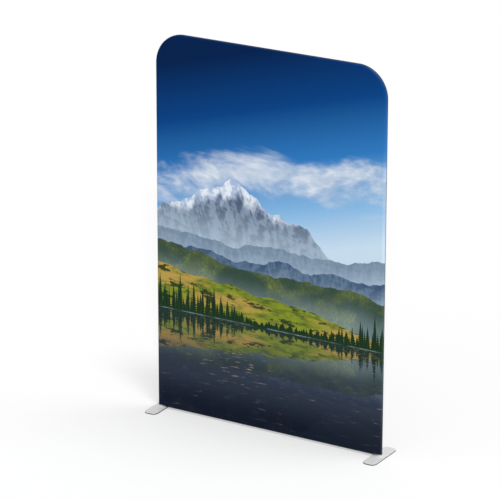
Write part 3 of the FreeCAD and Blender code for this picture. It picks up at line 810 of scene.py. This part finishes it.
def add_bake_map(piece):
    """Lays a cloth's outer face over most of the map for baking, and its lining in a strip beside it."""
    mesh = piece.data
    flat = np.zeros(2 * len(mesh.loops), np.float32)
    mesh.uv_layers[FLAT_MAP].uv.foreach_get("vector", flat)
    flat = flat.reshape(-1, 2)
    places = (flat - flat.min(0)) / (flat.max(0) - flat.min(0))
    lined = np.zeros(len(mesh.loops), bool)
    for face in mesh.polygons:
        lined[face.loop_start:face.loop_start + face.loop_total] = face.material_index == 1
    face_across = BAKE_MARGIN + places[:, 0] * FACE_SHARE
    lining_across = LINING_START + places[:, 0] * LINING_SHARE
    up = BAKE_MARGIN + places[:, 1] * (1 - 2 * BAKE_MARGIN)
    spots = np.column_stack([np.where(lined, lining_across, face_across), up])
    layer = mesh.uv_layers.new(name=BAKE_MAP)
    layer.uv.foreach_set("vector", spots.astype(np.float32).ravel())


def steps(start, end, step):
    """Evenly spaced values from start to end, about one step apart."""
    return np.linspace(start, end, max(2, round(abs(end - start) / step) + 1))


def corner_bend(cover):
    """The radius of the tubes' bends at the top, and how far out and how high their centres are."""
    radius = cover.corner_radius - COVER_RADIUS
    return radius, UPRIGHT_X - radius, TOP_AXIS_Z - radius


class CoverSide:
    """The grid of one side of the cover: its columns, the tubes' axis above them and its outline."""

    def __init__(self, face, cover):
        self.face = face
        self.cover = cover
        self.bend_radius, self.crown_x, self.bend_z = corner_bend(cover)
        self.slit_x = FLAP_X + cover.slit
        self.columns = self.column_places()
        self.tops = np.array([self.axis_height(x) for x in self.columns])
        self.cloth = Cloth()

    def column_places(self):
        turn = steps(0, math.pi / 2, self.cover.grid_step / self.bend_radius)
        bend = self.crown_x + self.bend_radius * np.sin(turn)
        right = np.unique(np.concatenate([bend, [FLAP_X, self.slit_x]]))
        straight = steps(-self.crown_x, self.crown_x, self.cover.grid_step)
        return np.concatenate([-right[:0:-1], straight, right[1:]])

    def axis_height(self, x):
        aside = max(0.0, abs(x) - self.crown_x)
        return self.bend_z + math.sqrt(max(0.0, self.bend_radius ** 2 - aside ** 2))

    def flat_points(self, columns, heights, lift=0.0):
        y = self.face * (COVER_RADIUS + lift)
        return [(x, y, z) for x, z in zip(columns, heights)], list(zip(columns, heights))

    def main_rows(self, low_z):
        """Rows from the lower edge to the tubes' axis, as lists of point numbers."""
        shares = steps(0, 1, self.cover.grid_step / (TOP_AXIS_Z - low_z))
        heights = [low_z + (self.tops - low_z) * t for t in shares]
        rows = [self.cloth.row(*self.flat_points(self.columns, z)) for z in heights]
        for lower, upper in zip(rows, rows[1:]):
            self.cloth.strip(lower, upper)
        return rows

    def hem_rows(self, sign, heights, top_row):
        """Rows of one corner, below the main ones, down to its hem."""
        wanted = [i for i, x in enumerate(self.columns) if sign * x >= self.slit_x - TOUCHING]
        columns = self.columns[wanted]
        above = [top_row[i] for i in wanted]
        rows = []
        for z in heights:
            lift = self.cover.hem_rise if z < HEM_Z + self.cover.hem_width * 0.8 else 0.0
            row = self.cloth.row(*self.flat_points(columns, np.full(len(columns), z), lift))
            self.cloth.strip(row, above)
            rows.append(row)
            above = row
        return rows

    def outline(self, rows, left_hem, right_hem):
        """Point numbers up the left side, over the top and down the right side, with each one's way out."""
        left = [row[0] for row in reversed(left_hem)] + [row[0] for row in rows[:-1]]
        right = [row[-1] for row in reversed(rows[:-1])] + [row[-1] for row in right_hem]
        ways = [(-1.0, 0.0)] * len(left)
        for x in self.columns:
            lean = math.copysign(max(0.0, abs(x) - self.crown_x), x) / self.bend_radius
            ways.append((lean, math.sqrt(max(0.0, 1 - lean ** 2))))
        ways += [(1.0, 0.0)] * len(right)
        return left + rows[-1] + right, ways

    def rim(self, edge, ways):
        """The rounded edge, from the flat to the seam that joins the two sides."""
        cover = self.cover
        base = np.array([self.cloth.points[i] for i in edge])
        ways = np.array(ways)
        along = np.concatenate([[0], np.cumsum(np.linalg.norm(np.diff(base, axis=0), axis=1))])
        ripple = np.sin(along * 2 * math.pi / cover.pucker_length + 1.7 * np.sin(along * 9.3))
        lifts = abs(base[:, 1]) - COVER_RADIUS
        previous = edge
        for share_round in RIM_STEPS:
            turn = share_round * math.pi / 2
            near_seam = max(0.0, (share_round - PUCKER_START) / (1 - PUCKER_START))
            dip = cover.seam_dip * max(0.0, (share_round - SEAM_START) / (1 - SEAM_START)) ** 2
            radius = COVER_RADIUS + lifts + ripple * cover.seam_pucker * near_seam - dip
            out = radius * math.sin(turn)
            points = np.column_stack([
                base[:, 0] + ways[:, 0] * out,
                self.face * radius * math.cos(turn),
                base[:, 2] + ways[:, 1] * out,
            ])
            flat = base[:, [0, 2]] + ways * (COVER_RADIUS * turn)
            ring = self.cloth.row(points, flat)
            self.cloth.strip(previous, ring)
            previous = ring

    def flap(self, top_row):
        """The lower edge of the front, under the bottom rail and up the back to the zip."""
        wanted = [i for i, x in enumerate(self.columns) if abs(x) <= FLAP_X + TOUCHING]
        columns = self.columns[wanted]
        above = [top_row[i] for i in wanted]
        places = []
        for turn in steps(0, math.pi, FLAP_TURN)[1:]:
            z = BOTTOM_AXIS_Z - COVER_RADIUS * math.sin(turn)
            places.append((-COVER_RADIUS * math.cos(turn), z, BOTTOM_AXIS_Z - COVER_RADIUS * turn))
        folded_z = FLAP_TOP_Z - self.cover.hem_width
        straight = steps(BOTTOM_AXIS_Z, folded_z, FLAP_STEP)[1:]
        for z in (*straight, folded_z + FOLD_STEP, FLAP_TOP_Z - 2 * MM, FLAP_TOP_Z):
            lift = self.cover.hem_rise if z > folded_z + FOLD_STEP / 2 else 0.0
            flat_z = BOTTOM_AXIS_Z - COVER_RADIUS * math.pi - (z - BOTTOM_AXIS_Z)
            places.append((COVER_RADIUS + lift, z, flat_z))
        for y, z, flat_z in places:
            row = self.cloth.row([(x, y, z) for x in columns], [(x, flat_z) for x in columns])
            self.cloth.strip(row, above)
            above = row

    def build(self, name, low_z, hem_heights, material, lining):
        """The whole side as a piece with thickness, with the lining's finish on its inner face."""
        rows = self.main_rows(low_z)
        left_hem = self.hem_rows(-1, hem_heights, rows[0])
        right_hem = self.hem_rows(1, hem_heights, rows[0])
        if self.face < 0:
            self.flap(rows[0])
        self.rim(*self.outline(rows, left_hem, right_hem))
        faces = self.cloth.faces if self.face < 0 else [face[::-1] for face in self.cloth.faces]
        made = add_mesh(name, self.cloth.points, faces, material, flat=self.cloth.flat)
        made.data.materials.append(lining)
        thick = made.modifiers.new("thickness", "SOLIDIFY")
        thick.thickness = self.cover.cloth_thickness
        thick.offset = -1
        thick.material_offset = 1
        apply_modifiers(made)
        add_bake_map(made)
        return made


def stitches(name, ends, radius, material):
    """Thread stitches as small beads: ends holds each one's start, end and way out of the cloth."""
    sides = 5
    start, end, out = (np.array(part, float) for part in zip(*ends))
    along = end - start
    across = np.cross(along, out)
    across /= np.linalg.norm(across, axis=1)[:, None]
    rings = []
    for position, width, lift in STITCH_SHAPE:
        centre = start + along * position + out * (lift * radius)
        for side in range(sides):
            turn = 2 * math.pi * side / sides
            rings.append(centre + (across * math.cos(turn) + out * math.sin(turn)) * (width * radius))
    points = np.stack(rings, axis=1).reshape(-1, 3)
    faces = []
    for number in range(len(start)):
        faces += tube_faces(len(STITCH_SHAPE), sides, number * len(STITCH_SHAPE) * sides)
    return add_mesh(name, points, faces, material)


def seam_line(cover, step):
    """Points along the edge seam, up the left side, over and down, with their ways out and along."""
    bend_radius, crown_x, bend_z = corner_bend(cover)
    seam_radius = COVER_RADIUS - cover.seam_dip * SEAM_STITCH_DEPTH
    places = []
    for z in steps(HEM_Z + step, bend_z, step)[:-1]:
        places.append((Vector((-UPRIGHT_X - seam_radius, 0, z)), Vector((-1, 0, 0)), Vector((0, 0, 1))))
    for turn in steps(0, math.pi / 2, step / cover.corner_radius)[:-1]:
        way = Vector((-math.cos(turn), 0, math.sin(turn)))
        centre = Vector((-crown_x, 0, bend_z))
        places.append((centre + way * (bend_radius + seam_radius), way, Vector((way.z, 0, -way.x))))
    for x in steps(-crown_x, 0, step)[:-1]:
        places.append((Vector((x, 0, TOP_AXIS_Z + seam_radius)), Vector((0, 0, 1)), Vector((1, 0, 0))))
    flipped = [
        (Vector((-p.x, 0, p.z)), Vector((-o.x, 0, o.z)), Vector((d.x, 0, -d.z))) for p, o, d in places
    ]
    return places + flipped[::-1]


def seam_stitches(cover, material):
    """Slanted stitches across the seam that joins the front and the back."""
    reach = Vector((0, SEAM_STITCH_REACH, 0))
    ends = []
    for place, out, along in seam_line(cover, cover.stitch_pitch):
        slant = along * (SEAM_STITCH_SLANT * cover.stitch_pitch)
        ends.append((place - reach - slant, place + reach + slant, out))
    return stitches("seam_stitches", ends, cover.thread_radius, material)


def hem_stitches(cover, material):
    """Straight stitch lines along the zip and across the corner hems."""
    pitch = cover.stitch_pitch
    sewn = STITCH_SHARE * pitch
    skin = COVER_RADIUS + cover.hem_rise
    lines = [FLAP_TOP_Z - inset for inset in STITCH_INSETS] + [BACK_LOW_Z + inset for inset in STITCH_INSETS]
    ends = []
    for x in steps(-FLAP_X + pitch, FLAP_X - pitch, pitch)[:-1]:
        for z in lines:
            ends.append(((x, skin, z), (x + sewn, skin, z), (0, 1, 0)))
    hem_line_z = HEM_Z + HEM_LINE
    for sign in LEFT_AND_RIGHT:
        for face in LEFT_AND_RIGHT:
            for x in steps(FLAP_X + cover.slit + HEM_LINE_INSET, UPRIGHT_X, pitch)[:-1]:
                start = (sign * x, face * skin, hem_line_z)
                ends.append((start, (sign * (x + sewn), face * skin, hem_line_z), (0, face, 0)))
    return stitches("hem_stitches", ends, cover.thread_radius, material)


def zip_tape(name, box, towards, settings, material):
    """A woven tape with a bead by its loops, which are above it where towards is 1, or below it at -1."""
    low, high = box
    y_in, y_out = low.y, high.y
    outer_z, inner_z = (low.z, high.z) if towards > 0 else (high.z, low.z)
    edge = [(y_out - TAPE_EDGE_DROP, outer_z), (y_out, outer_z + towards * TAPE_EDGE_WIDTH)]
    bead = [(y_out + settings.cord_rise * rise, inner_z - towards * inset) for inset, rise in TAPE_BEAD]
    section = [(y_in, outer_z), *edge, *bead, (y_out, inner_z - towards * TAPE_LIP), (y_in, inner_z)]
    if towards > 0:
        section = section[::-1]
    places = steps(low.x, high.x, settings.tape_step)
    points = [(x, y, z) for x in places for y, z in section]
    return add_mesh(name, points, tube_faces(len(places), len(section)), material, smooth=False)


def zip_coil(name, box, side, settings, phase, material):
    """One row of loops: a wire wound flat along the tape's edge."""
    low, high = box
    wire = settings.coil_wire / 2
    per_turn, ring = 10, 6
    head_z = middle("zip_slider", 2) + side * settings.head_gap / 2
    root_z = high.z if side > 0 else low.z
    half_z = (abs(root_z - head_z) - 2 * wire) / 2
    half_y = (high.y - low.y - 2 * wire) / 2
    centre_y = (low.y + high.y) / 2
    centre_z = (head_z + root_z) / 2
    turns = int((high.x - low.x - 2 * wire - settings.coil_pitch) / settings.coil_pitch)
    t = np.linspace(0, 2 * math.pi * turns, turns * per_turn + 1)
    squared = 0.62
    cos, sin = np.cos(t), np.sin(t)
    y = centre_y + half_y * np.sign(sin) * abs(sin) ** squared
    z = centre_z + half_z * np.sign(cos) * abs(cos) ** squared
    x = low.x + wire + settings.coil_pitch * (t / (2 * math.pi) + phase)
    line = np.column_stack([x, y, z])
    tangent = np.gradient(line, axis=0)
    tangent /= np.linalg.norm(tangent, axis=1)[:, None]
    radial = np.column_stack([np.zeros_like(t), sin, cos])
    radial -= tangent * (radial * tangent).sum(1)[:, None]
    radial /= np.linalg.norm(radial, axis=1)[:, None]
    other = np.cross(tangent, radial)
    turn = 2 * math.pi * np.arange(ring) / ring
    points = line[:, None] + wire * (
        radial[:, None] * np.cos(turn)[None, :, None] + other[:, None] * np.sin(turn)[None, :, None]
    )
    return add_mesh(name, points.reshape(-1, 3), tube_faces(len(t), ring), material)


def zip_stops(name, material):
    """Pressed clips that close both ends of the rows."""
    low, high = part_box("zip_end_stops")
    inner, outer = TEETH_LOWER[1].x, FLAP_X
    prong = Vector((outer - inner, high.y - low.y, (high.z - low.z) / 2 - PRONG_GAP))
    bridge = Vector((BRIDGE_WIDTH, high.y - low.y - BRIDGE_INSET, BRIDGE_HEIGHT))
    built = bmesh.new()
    for sign in LEFT_AND_RIGHT:
        centre = Vector((sign * (inner + outer) / 2, (low.y + high.y) / 2, (low.z + high.z) / 2))
        for side in LEFT_AND_RIGHT:
            add_block(built, centre + Vector((0, 0, side * (prong.z / 2 + PRONG_GAP))), prong)
        add_block(built, centre, bridge)
    bmesh.ops.bevel(built, geom=built.edges[:], offset=CLIP_ROUND, segments=2, affect="EDGES", profile=0.5)
    return add_built(name, built, material, smooth=True)


def rounded_outline(half_x, half_y, radius):
    """Points round a rectangle with round corners, about the origin."""
    per_corner = 10
    points = []
    for corner, (sx, sy) in enumerate(((1, 1), (-1, 1), (-1, -1), (1, -1))):
        for step in range(per_corner + 1):
            turn = math.pi / 2 * (corner + step / per_corner)
            points.append((
                sx * (half_x - radius) + radius * math.cos(turn),
                sy * (half_y - radius) + radius * math.sin(turn),
            ))
    return points


def foot_mat(name, node, settings, material):
    """An anti-slip mat: a thin plate with ribs across its sole and an opening under the foot's screw."""
    low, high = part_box(node)
    centre = (low + high) / 2
    half_x, half_y = (high.x - low.x) / 2, (high.y - low.y) / 2
    built = bmesh.new()
    outer = rounded_outline(half_x, half_y, MAT_CORNER)
    inner = []
    for x, y in outer:
        away = math.hypot(x, y)
        inner.append((x / away * MAT_OPENING, y / away * MAT_OPENING))
    rings = []
    for z in (low.z + settings.rib_height, high.z):
        for outline in (outer, inner):
            rings.append([built.verts.new((centre.x + x, centre.y + y, z)) for x, y in outline])
    bottom_out, bottom_in, top_out, top_in = rings
    for i in range(len(outer)):
        j = (i + 1) % len(outer)
        built.faces.new((top_out[i], top_out[j], top_in[j], top_in[i]))
        built.faces.new((bottom_out[j], bottom_out[i], bottom_in[i], bottom_in[j]))
        built.faces.new((bottom_out[i], bottom_out[j], top_out[j], top_out[i]))
        built.faces.new((bottom_in[j], bottom_in[i], top_in[i], top_in[j]))
    width = settings.rib_pitch * RIB_SHARE
    for y in steps(-half_y + settings.rib_pitch, half_y - settings.rib_pitch, settings.rib_pitch):
        past = max(0.0, abs(y) + width / 2 - (half_y - MAT_CORNER))
        reach = half_x - MAT_CORNER + math.sqrt(max(0.0, MAT_CORNER ** 2 - past ** 2)) - RIB_MARGIN
        nearest = max(0.0, abs(y) - width / 2)
        hollow = math.sqrt(max(0.0, (MAT_OPENING + RIB_MARGIN) ** 2 - nearest ** 2))
        spans = [(-reach, reach)] if hollow == 0 else [(-reach, -hollow), (hollow, reach)]
        for start, end in spans:
            at = Vector((centre.x + (start + end) / 2, centre.y + y, low.z + settings.rib_height / 2))
            add_block(built, at, (end - start, width, settings.rib_height))
    return add_built(name, built, material, smooth=False)


def leaf_springs(material):
    """The leaf springs, cut apart from the node that holds them all: each with its button's joint."""
    presses = [joint for joint in frame["joints"] if joint["name"].startswith("press_")]
    places = [sum(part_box(joint["child"]), Vector()) / 2 for joint in presses]
    for number, joint in enumerate(presses):
        built = bmesh.new()
        built.from_mesh(frame["nodes"]["snap_springs"].data)
        nearest = {v: min(range(len(places)), key=lambda k: (v.co - places[k]).length) for v in built.verts}
        bmesh.ops.delete(built, geom=[v for v, k in nearest.items() if k != number], context="VERTS")
        bmesh.ops.remove_doubles(built, verts=built.verts[:], dist=TOUCHING / 10)
        piece = add_built(joint["child"].replace("button", "spring"), built, material, smooth=True)
        if "custom_normal" in piece.data.attributes:
            piece.data.attributes.remove(piece.data.attributes["custom_normal"])
        piece.data.set_sharp_from_angle(angle=SPRING_CREASE)
        yield piece, joint


def dress(nodes, material):
    """Gives frame nodes a finish in place of their plain one."""
    for name in nodes:
        mesh = frame["nodes"][name].data
        mesh.materials.clear()
        mesh.materials.append(material)


def nodes_like(*starts):
    return [name for name in frame["nodes"] if name.startswith(starts)]


def settle(piece, body, slot, *replaced):
    """Puts a piece on its body and hides the nodes that it stands for; the slot is not used."""
    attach(piece, body)
    if replaced:
        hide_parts(*replaced)


def way_to(azimuth, elevation):
    """The way from the wall to a place round it: azimuth 0 is the front and a quarter turn the right."""
    return Vector((
        math.sin(azimuth) * math.cos(elevation),
        -math.cos(azimuth) * math.cos(elevation),
        math.sin(elevation),
    ))


# Operators
class DISPLAYWALL_OT_front_cover(Operator):
    """Builds the printed front of the cover, with the lower edge that goes under the bottom rail"""

    bl_idname = "display_wall.front_cover"
    bl_label = "Front cover"

    def execute(self, context):
        wall = context.scene.display_wall
        side = CoverSide(-1, wall.cover)
        heights = (BOTTOM_AXIS_Z - 0.9 * MM, HEM_Z + HEM_FOLD, HEM_Z)
        piece = side.build("front_cover", BOTTOM_AXIS_Z, heights, printed_cloth(wall), cloth_lining(wall))
        settle(piece, "frame", "cover_fabric", "cover_front")
        side.cloth.flat_size()
        side.cloth.flat_area()
        return {"FINISHED"}


class DISPLAYWALL_OT_back_cover(Operator):
    """Builds the plain back of the cover, down to the zip and the corner hems"""

    bl_idname = "display_wall.back_cover"
    bl_label = "Back cover"

    def execute(self, context):
        wall = context.scene.display_wall
        side = CoverSide(1, wall.cover)
        hem_top = HEM_Z + wall.cover.hem_width
        heights = (*steps(BACK_LOW_Z, hem_top, 10 * MM)[1:], hem_top - 2.4 * MM, HEM_Z + HEM_FOLD, HEM_Z)
        plain = plain_cloth(wall)
        piece = side.build("back_cover", BACK_LOW_Z, heights, plain, plain)
        settle(piece, "frame", "cover_fabric", "cover_back")
        side.cloth.flat_size()
        side.cloth.flat_area()
        return {"FINISHED"}


class DISPLAYWALL_OT_stitching(Operator):
    """Sews the edge seam, the zip's edges and the corner hems"""

    bl_idname = "display_wall.stitching"
    bl_label = "Stitching"

    def execute(self, context):
        wall = context.scene.display_wall
        thread = sewing_thread(wall)
        settle(seam_stitches(wall.cover, thread), "frame", "cover_fabric")
        settle(hem_stitches(wall.cover, thread), "frame", "cover_fabric")
        return {"FINISHED"}


class DISPLAYWALL_OT_zip_rows(Operator):
    """Builds the zip's tapes, its two rows of loops and its end stops"""

    bl_idname = "display_wall.zip_rows"
    bl_label = "Zip rows"

    def execute(self, context):
        wall = context.scene.display_wall
        tape, nylon = woven_tape(wall), coil_nylon(wall)
        rows = (("lower", -1, TAPE_LOWER, TEETH_LOWER, 0.25), ("upper", 1, TAPE_UPPER, TEETH_UPPER, 0.75))
        for name, side, tape_box, teeth_box, phase in rows:
            strip = zip_tape(f"{name}_zip_tape", tape_box, -side, wall.zip, tape)
            settle(strip, "frame", "zip_tape", f"zip_tape_{name}")
            coil = zip_coil(f"{name}_zip_coil", teeth_box, side, wall.zip, phase, nylon)
            settle(coil, "frame", "zip_nylon", f"zip_teeth_{name}")
        metal = plated_metal("stop_metal", wall.zip.metal_colour, 700)
        settle(zip_stops("zip_stops", metal), "frame", "zip_metal", "zip_end_stops")
        return {"FINISHED"}


class DISPLAYWALL_OT_zip_runner(Operator):
    """Finishes the zip's slider and pull tab"""

    bl_idname = "display_wall.zip_runner"
    bl_label = "Zip slider and tab"

    def execute(self, context):
        wall = context.scene.display_wall
        dress(["zip_slider", "zip_pull_tab"], plated_metal("slider_metal", wall.zip.metal_colour, 900))
        return {"FINISHED"}


class DISPLAYWALL_OT_tube_frame(Operator):
    """Finishes the tubes, joiners, stubs, plugs, buttons and screws"""

    bl_idname = "display_wall.tube_frame"
    bl_label = "Tube frame"

    def execute(self, context):
        settings = context.scene.display_wall.frame
        upright_lines, rail_lines = (700, 700, 6), (6, 700, 700)
        bend_lines, joiner_lines = (60, 700, 60), (90, 90, 90)
        uprights = [name for name in nodes_like("upright_") if "joiner" not in name]
        rails = ["top_rail", "bottom_rail_left", "bottom_rail_right", "crossbar_left", "crossbar_right"]
        dress(uprights, drawn_aluminium("upright_aluminium", settings.tube_colour, upright_lines, 0.24))
        dress(rails, drawn_aluminium("rail_aluminium", settings.tube_colour, rail_lines, 0.24))
        bends = nodes_like("corner_bend")
        dress(bends, drawn_aluminium("bend_aluminium", settings.tube_colour, bend_lines, 0.26))
        inner = [name for name in frame["nodes"] if "joiner" in name or "_stub_" in name or "plug" in name]
        inner = [name for name in inner if not name.startswith(("button_", "joiner_rivets"))]
        dress(inner, drawn_aluminium("joiner_aluminium", settings.joiner_colour, joiner_lines, 0.32))
        plated = nodes_like("button_", "stub_screws", "foot_screws")
        dress(plated, plated_metal("zinc_plate", settings.fastener_colour, 800))
        dress(["joiner_rivets"], plated_metal("rivet_aluminium", settings.joiner_colour, 900))
        return {"FINISHED"}


class DISPLAYWALL_OT_snap_springs(Operator):
    """Builds the leaf springs under the snap buttons"""

    bl_idname = "display_wall.snap_springs"
    bl_label = "Snap springs"

    def execute(self, context):
        steel = plated_metal("spring_steel", context.scene.display_wall.frame.fastener_colour, 500)
        for piece, joint in leaf_springs(steel):
            settle(piece, "frame", "fastener_steel", "snap_springs")
            axis = Vector(joint["axis"])
            reach = [axis.dot(v.co) for v in piece.data.vertices]
            travel = max(joint["range_m"]) - min(joint["range_m"])
            keep = 1 - travel / (max(reach) - min(reach))
            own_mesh(piece)
        return {"FINISHED"}


class DISPLAYWALL_OT_feet(Operator):
    """Finishes the foot plates and washers, and builds the ribbed mats under them"""

    bl_idname = "display_wall.feet"
    bl_label = "Feet"

    def execute(self, context):
        wall = context.scene.display_wall
        rubber, nylon = mat_rubber(wall), washer_nylon(wall)
        for side, name in zip(LEFT_AND_RIGHT, ("left", "right")):
            dress([f"foot_plate_{name}"], foot_coat(wall, side))
            dress([f"foot_washer_{name}"], nylon)
            mat = foot_mat(f"{name}_foot_mat", f"foot_pad_{name}", wall.foot, rubber)
            settle(mat, f"{name}_foot", "foot_rubber", f"foot_pad_{name}")
        return {"FINISHED"}


class DISPLAYWALL_OT_stage(Operator):
    """Sets up the white floor, the soft lights and the camera"""

    bl_idname = "display_wall.stage"
    bl_label = "Stage"

    def execute(self, context):
        settings = context.scene.display_wall.stage
        context.scene.view_settings.view_transform = "Standard"
        self.floor(settings)
        self.sky(context.scene, settings)
        for name, place in LIGHT_PLACES.items():
            self.sun(f"{name}_light", getattr(settings, f"{name}_strength"), *place)
        context.scene.camera = self.camera(settings)
        return {"FINISHED"}

    @staticmethod
    def seen(finish):
        """1 where the camera looks, straight or in a reflection."""
        path = finish.node("LightPath")
        rays = [finish.out(path, f"Is {kind} Ray") for kind in ("Camera", "Glossy", "Transmission")]
        return finish.math("MAXIMUM", finish.math("MAXIMUM", rays[0], rays[1]), rays[2])

    def floor(self, settings):
        half = 100
        finish = Finish("studio_floor")
        matt = finish.node("BsdfDiffuse", None, {"Color": (*settings.floor_colour, 1)})
        glow = finish.node("Emission", None, {"Strength": self.seen(finish) * settings.floor_glow})
        both = finish.node("AddShader", None, {0: finish.out(matt), 1: finish.out(glow)})
        finish.node("OutputMaterial", None, {"Surface": finish.out(both)})
        corners = [(-half, -half, 0), (half, -half, 0), (half, half, 0), (-half, half, 0)]
        add_mesh("studio_floor", corners, [(0, 1, 2, 3)], finish.owner, smooth=False)

    def sky(self, scene, settings):
        finish = Finish("studio_sky", "worlds")
        scene.world = finish.owner
        power = self.seen(finish) * (1 - settings.sky_strength) + settings.sky_strength
        light = finish.node("Background", None, {"Color": (1, 1, 1, 1), "Strength": power})
        finish.node("OutputWorld", None, {"Surface": finish.out(light)})

    @staticmethod
    def sun(name, energy, azimuth, elevation, spread):
        """A distant lamp, with its place and spread in degrees."""
        lamp = bpy.data.lights.new(name, "SUN")
        lamp.energy = energy
        lamp.angle = math.radians(spread)
        made = bpy.data.objects.new(name, lamp)
        towards = way_to(math.radians(azimuth), math.radians(elevation))
        made.rotation_euler = towards.to_track_quat("Z", "Y").to_euler()
        bpy.context.scene.collection.objects.link(made)

    @staticmethod
    def camera(settings):
        a, e, r = settings.azimuth, settings.elevation, settings.roll
        back = way_to(a, e)
        level = Vector((math.cos(a), math.sin(a), 0))
        upright = back.cross(level)
        right = level * math.cos(r) + upright * math.sin(r)
        up = upright * math.cos(r) - level * math.sin(r)
        centre = Vector((0, 0, WALL_HEIGHT / 2))
        lens = bpy.data.cameras.new("photo_camera")
        lens.sensor_width = 36
        lens.lens = settings.focal_pixels / settings.picture_pixels * lens.sensor_width
        lens.clip_end = 500
        made = bpy.data.objects.new("photo_camera", lens)
        made.matrix_world = Matrix((right, up, back)).transposed().to_4x4()
        made.location = (
            centre + back * settings.distance - right * settings.slide_right - up * settings.slide_up
        )
        bpy.context.scene.collection.objects.link(made)
        return made


OPERATORS = (
    DISPLAYWALL_OT_front_cover,
    DISPLAYWALL_OT_back_cover,
    DISPLAYWALL_OT_stitching,
    DISPLAYWALL_OT_zip_rows,
    DISPLAYWALL_OT_zip_runner,
    DISPLAYWALL_OT_tube_frame,
    DISPLAYWALL_OT_snap_springs,
    DISPLAYWALL_OT_feet,
    DISPLAYWALL_OT_stage,
)


class DISPLAYWALL_PT_sidebar(Panel):
    """Lists the wall's building steps and their settings"""

    bl_idname = "DISPLAYWALL_PT_sidebar"
    bl_label = "Display wall"
    bl_space_type = "VIEW_3D"
    bl_region_type = "UI"
    bl_category = "Display wall"

    def draw(self, context):
        wall = context.scene.display_wall
        for operator in OPERATORS:
            self.layout.operator(operator.bl_idname)
        for group in (wall.cover, wall.print_view, wall.zip, wall.frame, wall.foot, wall.stage):
            box = self.layout.box()
            for name in group.bl_rna.properties.keys():
                if name not in ("rna_type", "name"):
                    box.prop(group, name)


CLASSES = (
    CoverSettings,
    PrintSettings,
    ZipSettings,
    FrameSettings,
    FootSettings,
    StageSettings,
    WallSettings,
    *OPERATORS,
    DISPLAYWALL_PT_sidebar,
)


def register():
    for each in CLASSES:
        bpy.utils.register_class(each)
    bpy.types.Scene.display_wall = PointerProperty(type=WallSettings)


def unregister():
    del bpy.types.Scene.display_wall
    for each in reversed(CLASSES):
        bpy.utils.unregister_class(each)


def main():
    register()
    bpy.ops.display_wall.front_cover()
    bpy.ops.display_wall.back_cover()
    bpy.ops.display_wall.stitching()
    bpy.ops.display_wall.zip_rows()
    bpy.ops.display_wall.zip_runner()
    bpy.ops.display_wall.tube_frame()
    bpy.ops.display_wall.snap_springs()
    bpy.ops.display_wall.feet()
    bpy.ops.display_wall.stage()


if __name__ == "__main__":
    main()
